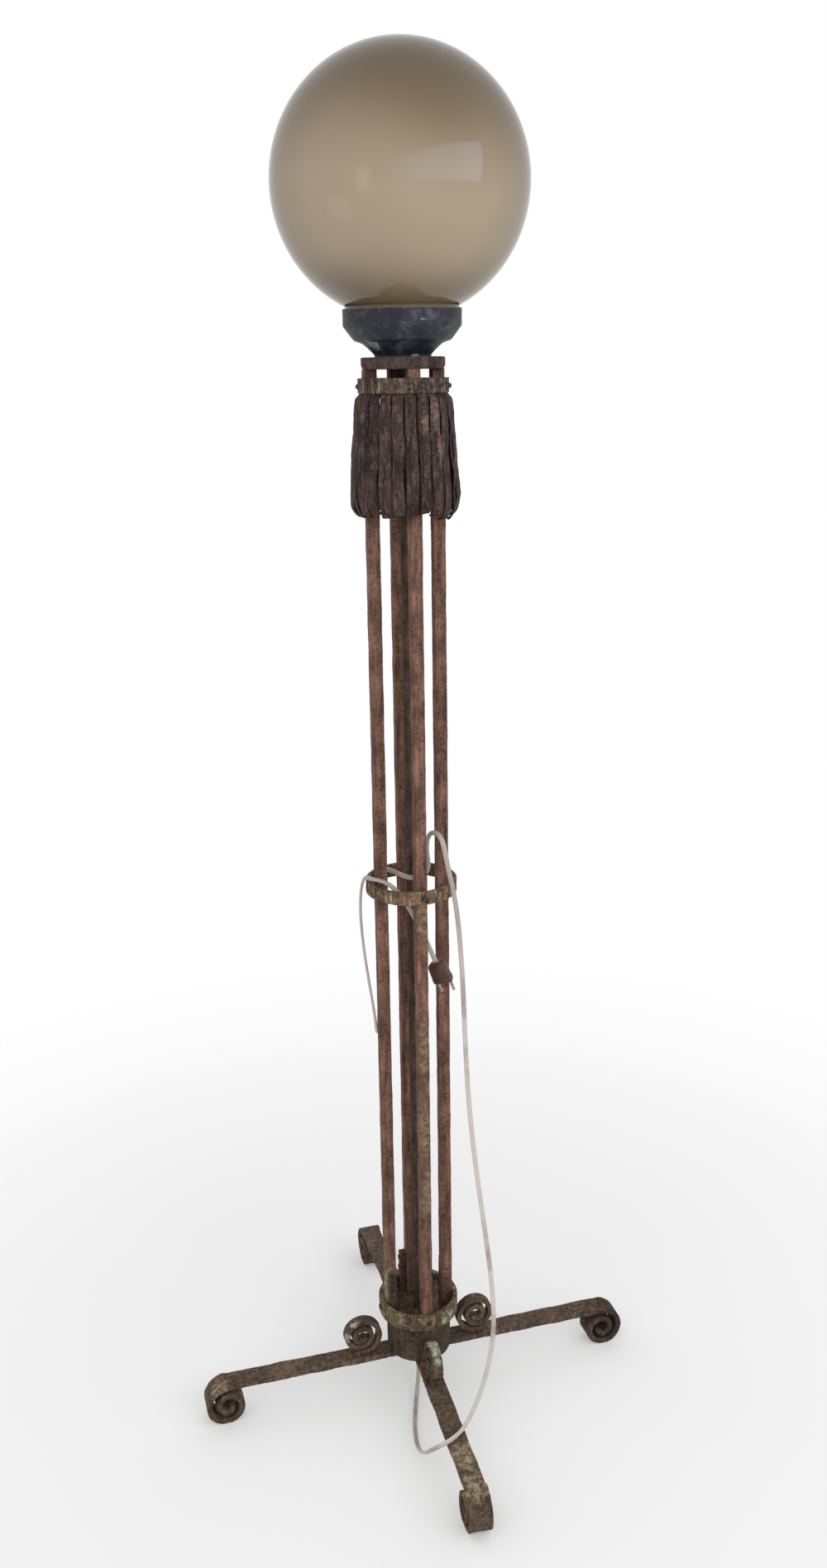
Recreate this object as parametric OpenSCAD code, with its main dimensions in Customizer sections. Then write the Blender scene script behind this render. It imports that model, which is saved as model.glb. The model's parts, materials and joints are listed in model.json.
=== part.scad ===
// Wrought iron floor lamp: four square bars around a tube, four scrolled feet,
// a fringed collar, a gallery and a round glass globe.
// Origin: on the floor, on the axis of the column. The legs lie along X and Y.

/* [Feet and legs] */
// Reach of a foot from the column axis
foot_reach = 317; // [250:1:380]
// Height of the top face of the legs
leg_top = 61; // [55:0.5:80]
// Width of a leg bar
leg_w = 28; // [20:1:36]
// Thickness of a leg bar
leg_t = 8; // [5:0.5:9]
// Width of a foot scroll
foot_w = 31; // [22:1:40]
// Growth of the foot scroll in one turn
foot_pitch = 14; // [13:0.5:16]
// Turns of the foot scroll
foot_turns = 1.75; // [1.2:0.05:1.75]
// Depth of the flat worn under each foot
foot_flat = 0.5; // [0.3:0.1:1]
// Distance of a leg's inner end from the axis
leg_inner_r = 20; // [17:1:26]
// Angle by which the front leg is out of square
front_leg_skew = -1.7; // [-3:0.1:3]

/* [Leg volutes] */
// Distance of a volute's centre from the column axis
volute_r = 87; // [80:1:130]
// Radius of a volute's bar along its middle, at the leg
volute_size = 25.5; // [22:0.5:27]
// Width of a volute bar
volute_w = 14; // [8:1:24]
// Thickness of a volute bar
volute_t = 7; // [4:0.5:7.5]

/* [Hub] */
// Outer radius of the hub drum
hub_r = 46; // [40:0.5:49]
// Wall of the hub drum
hub_wall = 4; // [2:0.5:8]
// Thickness of the disc that the legs are riveted to
base_disc_t = 6; // [4:0.5:10]
// Radius of the disc that the bars stand on
stand_disc_r = 49.8; // [46:0.1:50]
// Thickness of the disc that the bars stand on
stand_disc_t = 6; // [4:0.5:10]
// Height of the top face of that disc
column_z = 120.4; // [100:0.1:150]

/* [Column] */
// Side of the square upright bars
bar = 15; // [10:0.5:18]
// Distance from the axis to the middle of a bar
bar_r = 41.8; // [36:0.1:46]
// Height of the underside of the top plate
plate_z = 1433.1; // [1300:0.1:1500]
// Outer radius of the central tube
tube_r = 6.75; // [6:0.05:8]
// Bore radius of the central tube
tube_bore = 5.1; // [4:0.05:5.5]
// Radius of the round tenons at the ends of the bars
tenon_r = 4; // [2:0.5:5]
// Length of the upper tenons
tenon_top = 8; // [4:0.5:10]

/* [Rings] */
// Outer radius of the ring at the column's foot
low_ring_r = 56.9; // [54:0.1:60]
// Height of the ring at the column's foot
low_ring_h = 23.6; // [15:0.1:30]
// Outer radius of the ring at half height
mid_ring_r = 59.9; // [58:0.1:66]
// Wall of the ring at half height
mid_ring_wall = 5; // [3:0.5:6]
// Height of that ring
mid_ring_h = 17.9; // [12:0.1:30]
// Level of that ring's underside
mid_ring_z = 771.7; // [600:0.1:900]
// Radius of the ring rivets
ring_rivet_r = 2.5; // [1.5:0.5:4]
// Height of the cleats beside the bars' feet
cleat_h = 68; // [40:1:100]
// Width of a cleat
cleat_w = 9; // [6:0.5:12]
// Depth of a cleat from front to back
cleat_d = 10; // [8:0.5:12]
// Radius of the cleat rivets
cleat_rivet_r = 2; // [1.5:0.5:3]

/* [Collar and fringe] */
// Outer radius of the collar hoop
hoop_r = 54.7; // [54:0.1:60]
// Wall of the collar hoop
hoop_wall = 1.8; // [1:0.1:1.8]
// Height of the collar hoop
hoop_h = 17.2; // [12:0.1:25]
// Gap between the hoop and the top plate
hoop_gap = 9.9; // [6:0.1:40]
// Number of fringe strips
strips = 24; // [12:1:24]
// Thickness of a fringe strip
strip_t = 2; // [1:0.1:2]
// Width of a strip where it hangs free
strip_w = 13.4; // [8:0.1:14.6]
// Drop of the strips below the hoop
strip_drop = 141; // [60:1:160]
// Radius of the domed heads of the collar rivets
dome_r = 3.1; // [2:0.1:3.5]

/* [Gallery and globe] */
// Radius of the top plate
plate_r = 50.3; // [47:0.1:54]
// Thickness of the top plate
plate_t = 13.7; // [10:0.1:16]
// Outer radius of the gallery rim
rim_r = 70.3; // [60:0.1:80]
// Depth of the gallery below its rim
gallery_h = 54.4; // [48:0.1:60]
// Sheet thickness of the gallery
sheet = 1.6; // [1:0.1:2.5]
// Radius of the glass globe
globe_r = 150; // [120:1:180]
// Thickness of the glass
glass_t = 3; // [2:0.5:5]
// Clearance around the globe's neck
neck_gap = 1.4; // [0.5:0.1:3]

/* [Lampholder and bulb] */
// Outer radius of the lampholder
holder_r = 20; // [18.5:0.5:24]
// Height of the holder's barrel
barrel_h = 38; // [30:1:50]
// Radius of the bulb's screw cap
cap_r = 13.25; // [12.5:0.05:14]
// Radius of the bulb
bulb_r = 30; // [22:1:45]
// Length of the bulb with its cap
bulb_l = 110; // [95:1:130]
// Thickness of the bulb's glass
bulb_glass = 1; // [0.6:0.1:2]

/* [Flex and plug] */
// Diameter of the flex
flex_d = 6.4; // [4:0.1:8]
// Radius of one core of the flex
core_r = 1; // [0.5:0.1:1.2]
// Width of the plug's body
plug_w = 27; // [22:0.5:36]
// Thickness of the plug's body
plug_t = 16; // [12:0.5:22]
// Length of the plug's body
plug_l = 24; // [18:0.5:36]
// Distance between the plug's pins
pin_gap = 19; // [12:0.5:22]
// Radius of a plug pin
pin_r = 2; // [1.5:0.05:2.5]
// Length of a plug pin
pin_l = 15; // [12:0.5:20]

/* [Hidden] */
$fn = 48;
// clearance between pieces that only pass each other
gap = 0.3;
// radial clearance of a pin in its hole
fit = 0.05;
// overlap that a cutting shape has past a face
past = 1;
// faces along one turn of a scroll
turn_steps = 40;

leg_z = leg_top - leg_t;
base_disc_top = leg_top + base_disc_t;
stand_disc_z = column_z - stand_disc_t;
plate_top = plate_z + plate_t;
bar_face = bar_r + bar / 2;
bar_corner = sqrt(bar_face * bar_face + bar * bar / 4);
hoop_top = plate_z - hoop_gap;
hoop_z = hoop_top - hoop_h;
hoop_in = hoop_r - hoop_wall;
// rivet heads are flat buttons, this high
head_h = 2.2;

// legs and volutes, counted from the right-hand one against the clock
SIDES = ["right", "rear", "left", "front"];
leg_angle = [0, 90, 180, 270 + front_leg_skew];
bar_angle = [0, 90, 180, 270];

// foot scroll: its middle line starts on top, level with the bar, and turns outwards and down
foot_r = (leg_top + foot_flat - leg_t + foot_pitch / 2) / 2;
foot_cz = leg_top - leg_t / 2 - foot_r;
foot_cx = foot_reach - leg_t / 2 - foot_r + foot_pitch / 4;
function foot_point(turn) =
    let (a = 90 - 360 * turn, r = foot_r - foot_pitch * turn)
    [foot_cx + r * cos(a), foot_cz + r * sin(a)];
foot_steps = round(foot_turns * turn_steps);
foot_line = [for (i = [0 : foot_steps]) foot_point(i * foot_turns / foot_steps)];

// volute: radius of the middle line as a share of its size, against turns from the leg
volute_curl = [[0, 1], [0.25, 1.04], [0.5, 0.97], [0.75, 0.86], [1, 0.59],
               [1.25, 0.58], [1.5, 0.52], [1.75, 0.44], [2, 0.25], [2.2, 0.2]];
volute_turns = 2.2;
// the curl swells a little past the leg, so its centre stands higher by that much
volute_swell = volute_size * 0.006;
volute_cz = leg_top + volute_t / 2 + volute_size + volute_swell;
volute_tail = 12;
function volute_point(turn) =
    let (a = -90 - 360 * turn, r = volute_size * smooth_curl(turn))
    [volute_r + r * cos(a), volute_cz + r * sin(a)];
// the radius at a turn, smoothed over a twelfth of a turn each way
function smooth_curl(turn) =
    let (w = 1 / 12)
    (lookup(turn - w, volute_curl) + 2 * lookup(turn, volute_curl) + lookup(turn + w, volute_curl)) / 4;
volute_steps = round(volute_turns * turn_steps);
volute_line = concat([[volute_r + volute_tail, volute_cz - volute_size * smooth_curl(0)]],
                     [for (i = [0 : volute_steps]) volute_point(i * volute_turns / volute_steps)]);

// rings
low_ring_in = bar_corner + gap;
mid_ring_in = mid_ring_r - mid_ring_wall;
low_rivet_z = column_z + low_ring_h / 2;
mid_rivet_z = mid_ring_z + mid_ring_h / 2;
rivet_depth = 5;
sleeve_wall = 2;

// cleats stand against the side of each bar, inside the lower ring
cleat_r = bar_face - 3 - cleat_d / 2;
cleat_t = bar / 2 + fit + cleat_w / 2;
cleat_rivet_levels = [0.62, 0.86];

// collar: the strips hang inside the hoop, step out under it and curl in at their ends
strip_in = bar_corner + gap;
strip_out = strip_in + strip_t;
strip_top_w = 2 * (strip_in * tan(180 / strips)) - gap;
kick = 4.2;
kick_drop = 10;
flare = 7.6;
curl_in = 11;
curl_h = 22;
rivet_level = hoop_z + hoop_h * 0.45;
// how much longer than the shortest each strip is, repeated around the collar
uneven = [6, 9, 4, 8, 5, 10, 3, 7, 9, 4, 8, 10, 10, 8, 4, 7.5, 6, 7, 3.5, 7, 12, 13, 9, 5];
function strip_length(i) = strip_drop - 7 + uneven[i % len(uneven)];
// one strip's middle line, downwards from its top
function strip_line(n) =
    let (r0 = strip_in + strip_t / 2, z0 = hoop_top - 1, r1 = strip_out + kick + strip_t / 2)
    concat([[r0, z0], [r0, hoop_z - 1], [r1 - 0.6, hoop_z - 7]],
           [for (k = [0 : 5])
               [r1 + flare * k / 5, hoop_z - kick_drop - (n - kick_drop - curl_h) * k / 5]],
           [for (a = [15 : 15 : 90])
               [r1 + flare - curl_in * (1 - cos(a)), hoop_z - n + curl_h * (1 - sin(a))]]);

// gallery, from its flat foot up to the rim: outer radius and height above the plate
rim_h = 19;
belly = [58.6, 20];
gallery_shape = [[34, 0], [34, 2.8], [40.3, 9.2], [47.6, 15.5], belly, [rim_r, gallery_h - rim_h],
                 [rim_r, gallery_h]];
shoulder_slope = (gallery_h - rim_h - belly[1]) / (rim_r - belly[0]);
// the globe's neck stands on the inside of the shoulder
neck_r = rim_r - sheet - neck_gap;
neck_z = plate_top + gallery_h - rim_h + sheet / 2 - neck_gap * shoulder_slope + gap;
// height of the neck below the sphere
neck_rise = 22.2;
globe_z = neck_z + neck_rise + sqrt(globe_r * globe_r - neck_r * neck_r);

// lampholder and its stem
nut_h = 5;
nut_across = 18;
nipple_r = tube_bore - fit;
nipple_bore = 3.6;
nipple_low = plate_top - 12;
foot_nut_z = plate_top + sheet;
holder_z = foot_nut_z + nut_h + gap;
holder_collar_r = 8;
collar_h = 8;
holder_cap_h = 22;
// height over which the cap widens from its collar to the barrel
holder_shoulder = 9;
holder_wall = 2.5;
insert_z = holder_z + collar_h + 12;
insert_t = 8;
terminal_r = 1.6;
terminal_head_r = 2.6;
terminal_head_h = 1.6;
terminal_x = 6;
nipple_top = insert_z - terminal_head_h - gap;
barrel_z = holder_z + collar_h + holder_cap_h + gap;
contact_z = insert_z + insert_t;
contact_h = 2;
contact_w = 4;
contact_l = 6;
strap_t = 0.8;
bulb_z = contact_z + contact_h + gap;
cap_h = 25;
cap_wall = 0.3;
shell_wall = 1;
// insulating foot of the bulb's cap, and how far the glass goes into the cap
cap_foot_h = 3;
bulb_seat = 6;
bulb_neck_r = cap_r - cap_wall - fit;

// hub
tube_z = leg_z + 1;
foot_nut_r = 12;
wire_x = core_r + 0.15;
bush_flange = 3;
bush_z = tube_z - bush_flange;
bush_grip = 8;
bush_bore = wire_x + core_r + 0.4;
leg_rivet_rs = [leg_inner_r + 6, hub_r - hub_wall - 5.5];
leg_rivet_r = 3;
volute_rivet_r = 2.5;

// flex: its route from the bush under the hub to the plug, lying on the floor,
// over the front leg, up beside the column, over the ring at half height and back
flex_r = flex_d / 2;
floor_z = flex_r + 0.2;
over_leg = leg_top + flex_r + gap;
on_ring = mid_ring_z + mid_ring_h + flex_r + gap;
FLEX = [
    [0, 0, bush_z], [0, 0, 30], [-4, -9, 6], [-20, -50, floor_z], [-43, -118, floor_z],
    [-50, -178, 22], [-43, -203, 52], [-24, -213, 67], [-3, -200, over_leg], [14, -186, 66],
    [36, -178, 102], [58, -168, 165], [65, -149, 232], [58, -124, 335], [46, -92, 490],
    [49, -70, 665], [45, -58, 764], [36, -54, 806], [31, -53, 836], [28, -46, 861],
    [18, -23, 860], [15, -16, 832], [20, -23, 804], [3, -24, 794], [-14, -13, 796],
    [-27, 16, 799], [-34, 37, 792], [-34, 39, 745], [-32, 42, 590], [-35, 42, 556],
    [-49, 13, 556], [-51, 13, 590], [-62, 18, 670], [-68, 18, 745], [-64, 12, 797],
    [-57, -9, on_ring + 2], [-48, -30, 802], [-22, -32, 782], [10, -28, 712], [23, -31, 677]
];

// plug: hangs on the end of the flex, in line with its last stretch
plug_at = FLEX[len(FLEX) - 1];
plug_line = plug_at - FLEX[len(FLEX) - 2];
plug_heading = atan2(plug_line.y, plug_line.x);
plug_lean = atan2(norm([plug_line.x, plug_line.y]), -plug_line.z);
plug_turn = 26;
// width, depth and length of the plug's neck
plug_neck = [15, 11, 6];
plug_end = -plug_neck.z - plug_l;
// height of the half that holds the pins, and how deep the pins sit in it
plug_split = 8;
pin_grip = 6;
plug_screw_r = 1.5;
plug_screw_l = 13;
plug_head_r = 2.8;
plug_head_h = 1.2;

IRON = "#5c4a3c";
PAINT = "#8f8a5e";
BLUE = "#2c3140";
BROWN = "#4f3328";

// A bar of thickness t along a line of points, as a flat outline.
module band(line, t) {
    last = len(line) - 1;
    side = function(i)
        let (d = line[min(i + 1, last)] - line[max(i - 1, 0)])
        [-d.y, d.x] / norm(d) * t / 2;
    polygon(concat([for (i = [0 : last]) line[i] + side(i)],
                   [for (i = [last : -1 : 0]) line[i] - side(i)]));
}

// An outline drawn in radius and height, stood up along the X axis and given a width.
module upright_slab(w) {
    translate([0, w / 2, 0])
        rotate([90, 0, 0])
            linear_extrude(height = w)
                children();
}

// A tube around the Z axis.
module pipe(r_out, r_in, z0, z1) {
    translate([0, 0, z0])
        difference() {
            cylinder(r = r_out, h = z1 - z0, $fn = 96);
            translate([0, 0, -past])
                cylinder(r = r_in, h = z1 - z0 + 2 * past, $fn = 96);
        }
}

// A six-sided nut around the Z axis.
module nut(across, bore, z0, h) {
    translate([0, 0, z0])
        difference() {
            cylinder(r = across / sqrt(3), h = h, $fn = 6);
            translate([0, 0, -past])
                cylinder(r = bore, h = h + 2 * past);
        }
}

// A pin along X at one height, from radius r0 to radius r1.
module radial_pin(r, r0, r1, z) {
    translate([r0, 0, z])
        rotate([0, 90, 0])
            cylinder(r = r, h = r1 - r0, $fn = 24);
}

// A button head on a pin along X, standing on radius r0.
module radial_button(r, r0, z) {
    radial_pin(r, r0, r0 + head_h * 0.45, z);
    translate([r0 + head_h * 0.45, 0, z])
        rotate([0, 90, 0])
            rotate_extrude($fn = 24)
                polygon([[0, 0], [r, 0], [r * 0.72, head_h * 0.4], [0, head_h * 0.55]]);
}

module at_bars() {
    for (a = bar_angle)
        rotate(a)
            children();
}

module at_legs() {
    for (a = leg_angle)
        rotate(a)
            children();
}

module at_strips() {
    for (i = [0 : strips - 1])
        rotate(360 / strips * (i + 0.5))
            children();
}

// Glass globe with its short open neck.
module globe_glass() {
    color("#8f7f62", 0.8)
        difference() {
            union() {
                translate([0, 0, globe_z])
                    sphere(r = globe_r, $fn = 120);
                translate([0, 0, neck_z])
                    cylinder(r = neck_r, h = neck_rise + glass_t * 2, $fn = 96);
            }
            translate([0, 0, globe_z])
                sphere(r = globe_r - glass_t, $fn = 120);
            translate([0, 0, neck_z - past])
                cylinder(r = neck_r - glass_t, h = neck_rise + glass_t * 4, $fn = 96);
        }
}

// Pressed cup that carries the globe.
module gallery() {
    last = len(gallery_shape) - 1;
    inside = [for (i = [last : -1 : 1])
        [gallery_shape[i][0] - sheet, gallery_shape[i][1] + (i < last ? sheet / 2 : 0)]];
    foot = [[gallery_shape[0][0] - sheet, sheet], [nipple_r + gap, sheet], [nipple_r + gap, 0]];
    color(BLUE)
        translate([0, 0, plate_top])
            rotate_extrude($fn = 96)
                polygon(concat(gallery_shape, inside, foot));
}

module gallery_nut() {
    color("#6b5a3a")
        nut(nut_across, nipple_r + fit, foot_nut_z, nut_h);
}

// Pear-shaped bulb glass, open where the cap holds it.
module bulb_envelope() {
    low = bulb_z + cap_h - bulb_seat;
    mid = bulb_z + bulb_l - bulb_r;
    color("#e8e4d8", 0.6)
        difference() {
            union() {
                translate([0, 0, mid])
                    sphere(r = bulb_r, $fn = 72);
                translate([0, 0, low])
                    bulb_skirt(bulb_neck_r, mid - low, 0);
            }
            translate([0, 0, mid])
                sphere(r = bulb_r - bulb_glass, $fn = 72);
            translate([0, 0, low])
                bulb_skirt(bulb_neck_r - bulb_glass, mid - low, past);
        }
}

// The straight and flared part of the bulb, from its cap to the widest place.
module bulb_skirt(r, h, below) {
    rise = h - cap_h * 0.3;
    thin = bulb_neck_r - r;
    rotate_extrude($fn = 72)
        polygon([[0, -below], [r, -below], [r, bulb_seat + 2], [r + 2, bulb_seat + 8],
                 [bulb_r * 0.72 - thin, rise * 0.62], [bulb_r * 0.9 - thin, h - bulb_r * 0.42], [0, h]]);
}

module bulb_cap() {
    color("#b9b3a4") {
        difference() {
            translate([0, 0, bulb_z + cap_foot_h])
                cylinder(r = cap_r, h = cap_h - cap_foot_h, $fn = 72);
            translate([0, 0, bulb_z + cap_foot_h + 2])
                cylinder(r = cap_r - cap_wall, h = cap_h, $fn = 72);
        }
        translate([0, 0, bulb_z])
            rotate_extrude($fn = 48)
                polygon([[0, 0], [4, 0], [5, 1], [9, cap_foot_h - 1], [cap_r - 1, cap_foot_h],
                         [0, cap_foot_h]]);
    }
}

// Lower half of the lampholder, screwed onto the stem.
module lampholder_cap() {
    top = collar_h + holder_cap_h;
    wide = collar_h + holder_shoulder;
    shape = [[nipple_r + fit, 0], [holder_collar_r, 0], [holder_collar_r, collar_h - 2],
             [holder_r - 4, wide - 6], [holder_r, wide], [holder_r, top],
             [holder_r - holder_wall, top], [holder_r - holder_wall, wide + 0.5],
             [holder_r - 6, wide - 3.5], [nipple_r + fit, collar_h + 2]];
    color(BROWN)
        translate([0, 0, holder_z])
            rotate_extrude($fn = 72)
                polygon(shape);
}

module lampholder_barrel() {
    color(BROWN)
        pipe(holder_r, holder_r - holder_wall, barrel_z, barrel_z + barrel_h);
}

// Screw shell that takes the bulb's cap.
module lampholder_shell() {
    color("#a98d4f")
        pipe(cap_r + fit * 2 + shell_wall, cap_r + fit * 2, contact_z, contact_z + cap_h);
}

module lampholder_insert() {
    r = holder_r - holder_wall - gap;
    color("#d9d4c8")
        difference() {
            translate([0, 0, insert_z])
                cylinder(r = r, h = insert_t, $fn = 72);
            for (s = [-1, 1])
                translate([s * terminal_x, 0, insert_z - past])
                    cylinder(r = terminal_r + fit, h = insert_t + 2 * past, $fn = 24);
        }
}

// Springy centre contact and the strap to the screw shell.
module lampholder_contacts() {
    color("#b08d4a") {
        translate([-contact_l / 2, -contact_w / 2, contact_z])
            cube([contact_l, contact_w, contact_h]);
        translate([cap_r - contact_w - 0.5, -contact_w / 2, contact_z])
            cube([contact_w, contact_w, strap_t]);
    }
}

module terminal_screws() {
    color("#b08d4a")
        for (s = [-1, 1])
            translate([s * terminal_x, 0, 0]) {
                translate([0, 0, insert_z])
                    cylinder(r = terminal_r, h = insert_t, $fn = 24);
                translate([0, 0, insert_z - terminal_head_h])
                    cylinder(r = terminal_head_r, h = terminal_head_h, $fn = 24);
            }
}

module stem_nipple() {
    color("#6b5a3a")
        pipe(nipple_r, nipple_bore, nipple_low, nipple_top);
}

// Turned plate on top of the bars.
module top_plate() {
    color("#4d473d")
        translate([0, 0, plate_z])
            difference() {
                rotate_extrude($fn = 96)
                    polygon([[tube_r + fit, 0], [plate_r - 2, 0], [plate_r - 0.6, 3], [plate_r, 5],
                             [plate_r, plate_t - 1], [plate_r - 1, plate_t], [tube_r + fit, plate_t]]);
                at_bars()
                    translate([bar_r, 0, -past])
                        cylinder(r = tenon_r + fit, h = tenon_top + past + gap, $fn = 32);
            }
}

module central_tube() {
    color("#6a4a3a")
        pipe(tube_r, tube_bore, tube_z, plate_top);
}

// One square bar with a round tenon at each end.
module upright(i) {
    color(IRON)
        rotate(bar_angle[i])
            difference() {
                union() {
                    translate([bar_r - bar / 2, -bar / 2, column_z])
                        cube([bar, bar, plate_z - column_z]);
                    translate([bar_r, 0, stand_disc_z])
                        cylinder(r = tenon_r, h = stand_disc_t + past, $fn = 32);
                    translate([bar_r, 0, plate_z - past])
                        cylinder(r = tenon_r, h = tenon_top + past, $fn = 32);
                }
                for (z = [low_rivet_z, mid_rivet_z])
                    radial_pin(ring_rivet_r + fit, bar_face - rivet_depth - gap, bar_face + past, z);
                for (k = cleat_rivet_levels)
                    cleat_hole(k, fit);
            }
}

// Rivet that runs through a bar and its cleat, side to side.
module cleat_hole(level, extra) {
    translate([cleat_r, -bar / 2 - past, column_z + cleat_h * level])
        rotate([-90, 0, 0])
            cylinder(r = cleat_rivet_r + extra, h = bar + cleat_w + 2 * past, $fn = 24);
}

// Flat hoop around the bars' heads.
module collar_hoop() {
    color(IRON)
        difference() {
            pipe(hoop_r, hoop_in, hoop_z, hoop_top);
            at_strips()
                radial_pin(dome_r / 2 + fit, hoop_in - past, hoop_r + past, rivet_level);
        }
}

module fringe_strips() {
    color(IRON)
        for (i = [0 : strips - 1])
            rotate(360 / strips * (i + 0.5))
                difference() {
                    union() {
                        upright_slab(strip_top_w)
                            band(strip_line(strip_length(i)), strip_t);
                        intersection() {
                            upright_slab(strip_w)
                                band(strip_line(strip_length(i)), strip_t);
                            translate([0, -strip_w, hoop_z - 2 * strip_drop])
                                cube([2 * hoop_r, 2 * strip_w, 2 * strip_drop - 6]);
                        }
                    }
                    radial_pin(dome_r / 2 + fit, strip_in - past, strip_out + past, rivet_level);
                }
}

// Round-headed rivets, one for each strip.
module collar_rivets() {
    color("#6e5a48")
        at_strips() {
            radial_pin(dome_r / 2, strip_in, hoop_r + gap, rivet_level);
            intersection() {
                translate([hoop_r, 0, rivet_level])
                    sphere(r = dome_r, $fn = 32);
                translate([hoop_r, -dome_r, hoop_z])
                    cube([2 * dome_r, 2 * dome_r, hoop_h]);
            }
        }
}

module mid_ring() {
    color(PAINT)
        difference() {
            pipe(mid_ring_r, mid_ring_in, mid_ring_z, mid_ring_z + mid_ring_h);
            at_bars()
                radial_pin(ring_rivet_r + fit, bar_face, mid_ring_r + past, mid_rivet_z);
        }
}

// Distance sleeves between the bars and the ring at half height.
module mid_ring_sleeves() {
    long = sqrt(mid_ring_in * mid_ring_in - pow(ring_rivet_r + sleeve_wall, 2)) - bar_face;
    color(IRON)
        at_bars()
            difference() {
                radial_pin(ring_rivet_r + sleeve_wall, bar_face, bar_face + long, mid_rivet_z);
                radial_pin(ring_rivet_r + fit, bar_face - past, mid_ring_r, mid_rivet_z);
            }
}

module mid_ring_rivets() {
    color("#3a2f28")
        at_bars() {
            radial_pin(ring_rivet_r, bar_face - rivet_depth, mid_ring_r + gap, mid_rivet_z);
            radial_button(ring_rivet_r * 1.6, mid_ring_r, mid_rivet_z);
        }
}

module lower_ring() {
    color(PAINT)
        difference() {
            pipe(low_ring_r, low_ring_in, column_z, column_z + low_ring_h);
            at_bars()
                radial_pin(ring_rivet_r + fit, bar_face, low_ring_r + past, low_rivet_z);
        }
}

module lower_ring_rivets() {
    color("#3a2f28")
        at_bars() {
            radial_pin(ring_rivet_r, bar_face - rivet_depth, low_ring_r + gap, low_rivet_z);
            radial_button(ring_rivet_r * 1.6, low_ring_r, low_rivet_z);
        }
}

module upright_cleats() {
    color("#6c6a50")
        at_bars()
            difference() {
                translate([cleat_r - cleat_d / 2, cleat_t - cleat_w / 2, column_z])
                    cube([cleat_d, cleat_w, cleat_h]);
                for (k = cleat_rivet_levels)
                    cleat_hole(k, fit);
            }
}

module cleat_rivets() {
    side = cleat_t + cleat_w / 2;
    color("#3a2f28")
        at_bars()
            for (k = cleat_rivet_levels)
                translate([cleat_r, -bar / 2, column_z + cleat_h * k])
                    rotate([-90, 0, 0]) {
                        cylinder(r = cleat_rivet_r, h = bar / 2 + side, $fn = 24);
                        translate([0, 0, bar / 2 + side])
                            cylinder(r = cleat_rivet_r * 1.7, h = head_h * 0.7, $fn = 24);
                    }
}

// Disc that the bars are tenoned into.
module stand_disc() {
    color("#6f7260")
        difference() {
            pipe(stand_disc_r, tube_r + fit, stand_disc_z, column_z);
            at_bars()
                translate([bar_r, 0, stand_disc_z - past])
                    cylinder(r = tenon_r + fit, h = stand_disc_t + 2 * past, $fn = 32);
        }
}

module hub_drum() {
    color(IRON)
        pipe(hub_r, hub_r - hub_wall, base_disc_top, stand_disc_z);
}

// Disc that the legs are riveted under.
module base_disc() {
    color(IRON)
        difference() {
            pipe(hub_r, tube_r + fit, leg_top, base_disc_top);
            at_legs()
                for (r = leg_rivet_rs)
                    translate([r, 0, leg_top - past])
                        cylinder(r = leg_rivet_r + fit, h = base_disc_t + 2 * past, $fn = 32);
        }
}

// Nut that draws the column down onto the base disc.
module base_nut() {
    color("#4a3c32")
        nut(foot_nut_r * sqrt(3), tube_r + fit, leg_top - nut_h, nut_h);
}

// One leg: a flat bar that ends in a rolled scroll.
module leg(i) {
    color(IRON)
        rotate(leg_angle[i])
            difference() {
                union() {
                    translate([leg_inner_r, -leg_w / 2, leg_z])
                        cube([foot_cx - leg_inner_r, leg_w, leg_t]);
                    upright_slab(foot_w)
                        band(foot_line, leg_t);
                }
                translate([foot_cx - 2 * foot_r, -foot_w, -foot_w])
                    cube([4 * foot_r, 2 * foot_w, foot_w]);
                for (r = leg_rivet_rs)
                    translate([r, 0, leg_z - past])
                        cylinder(r = leg_rivet_r + fit, h = leg_t + 2 * past, $fn = 32);
                translate([volute_r, 0, leg_z - past])
                    cylinder(r = volute_rivet_r + fit, h = leg_t + 2 * past, $fn = 32);
            }
}

// One rolled volute, standing on its leg.
module volute(i) {
    color(IRON)
        rotate(leg_angle[i])
            difference() {
                upright_slab(volute_w)
                    band(volute_line, volute_t);
                translate([volute_r, 0, leg_z])
                    cylinder(r = volute_rivet_r + fit, h = leg_t + volute_t + past, $fn = 32);
            }
}

module leg_rivets() {
    color("#3a2f28")
        at_legs()
            for (r = leg_rivet_rs)
                translate([r, 0, 0]) {
                    translate([0, 0, leg_z - head_h])
                        cylinder(r = leg_rivet_r * 1.6, h = head_h, $fn = 32);
                    translate([0, 0, leg_z - gap])
                        cylinder(r = leg_rivet_r, h = leg_t + base_disc_t + 2 * gap, $fn = 32);
                    translate([0, 0, base_disc_top])
                        cylinder(r = leg_rivet_r * 1.6, h = head_h, $fn = 32);
                }
}

module volute_rivets() {
    color("#3a2f28")
        at_legs()
            translate([volute_r, 0, 0]) {
                translate([0, 0, leg_z - head_h])
                    cylinder(r = volute_rivet_r * 1.7, h = head_h, $fn = 32);
                translate([0, 0, leg_z - gap])
                    cylinder(r = volute_rivet_r, h = leg_t + volute_t + gap, $fn = 32);
            }
}

// The two cores of the flex, up through the tube to the terminals.
module flex_cores() {
    color("#c9c2b4")
        for (s = [-1, 1])
            translate([s * wire_x, 0, bush_z])
                cylinder(r = core_r, h = insert_z - gap - bush_z, $fn = 24);
}

// Bush in the lower end of the tube.
module cable_bush() {
    color("#2b2724") {
        pipe(tube_r + 2, bush_bore, bush_z, tube_z);
        pipe(tube_bore - fit, bush_bore, tube_z - fit, tube_z + bush_grip);
    }
}

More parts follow.
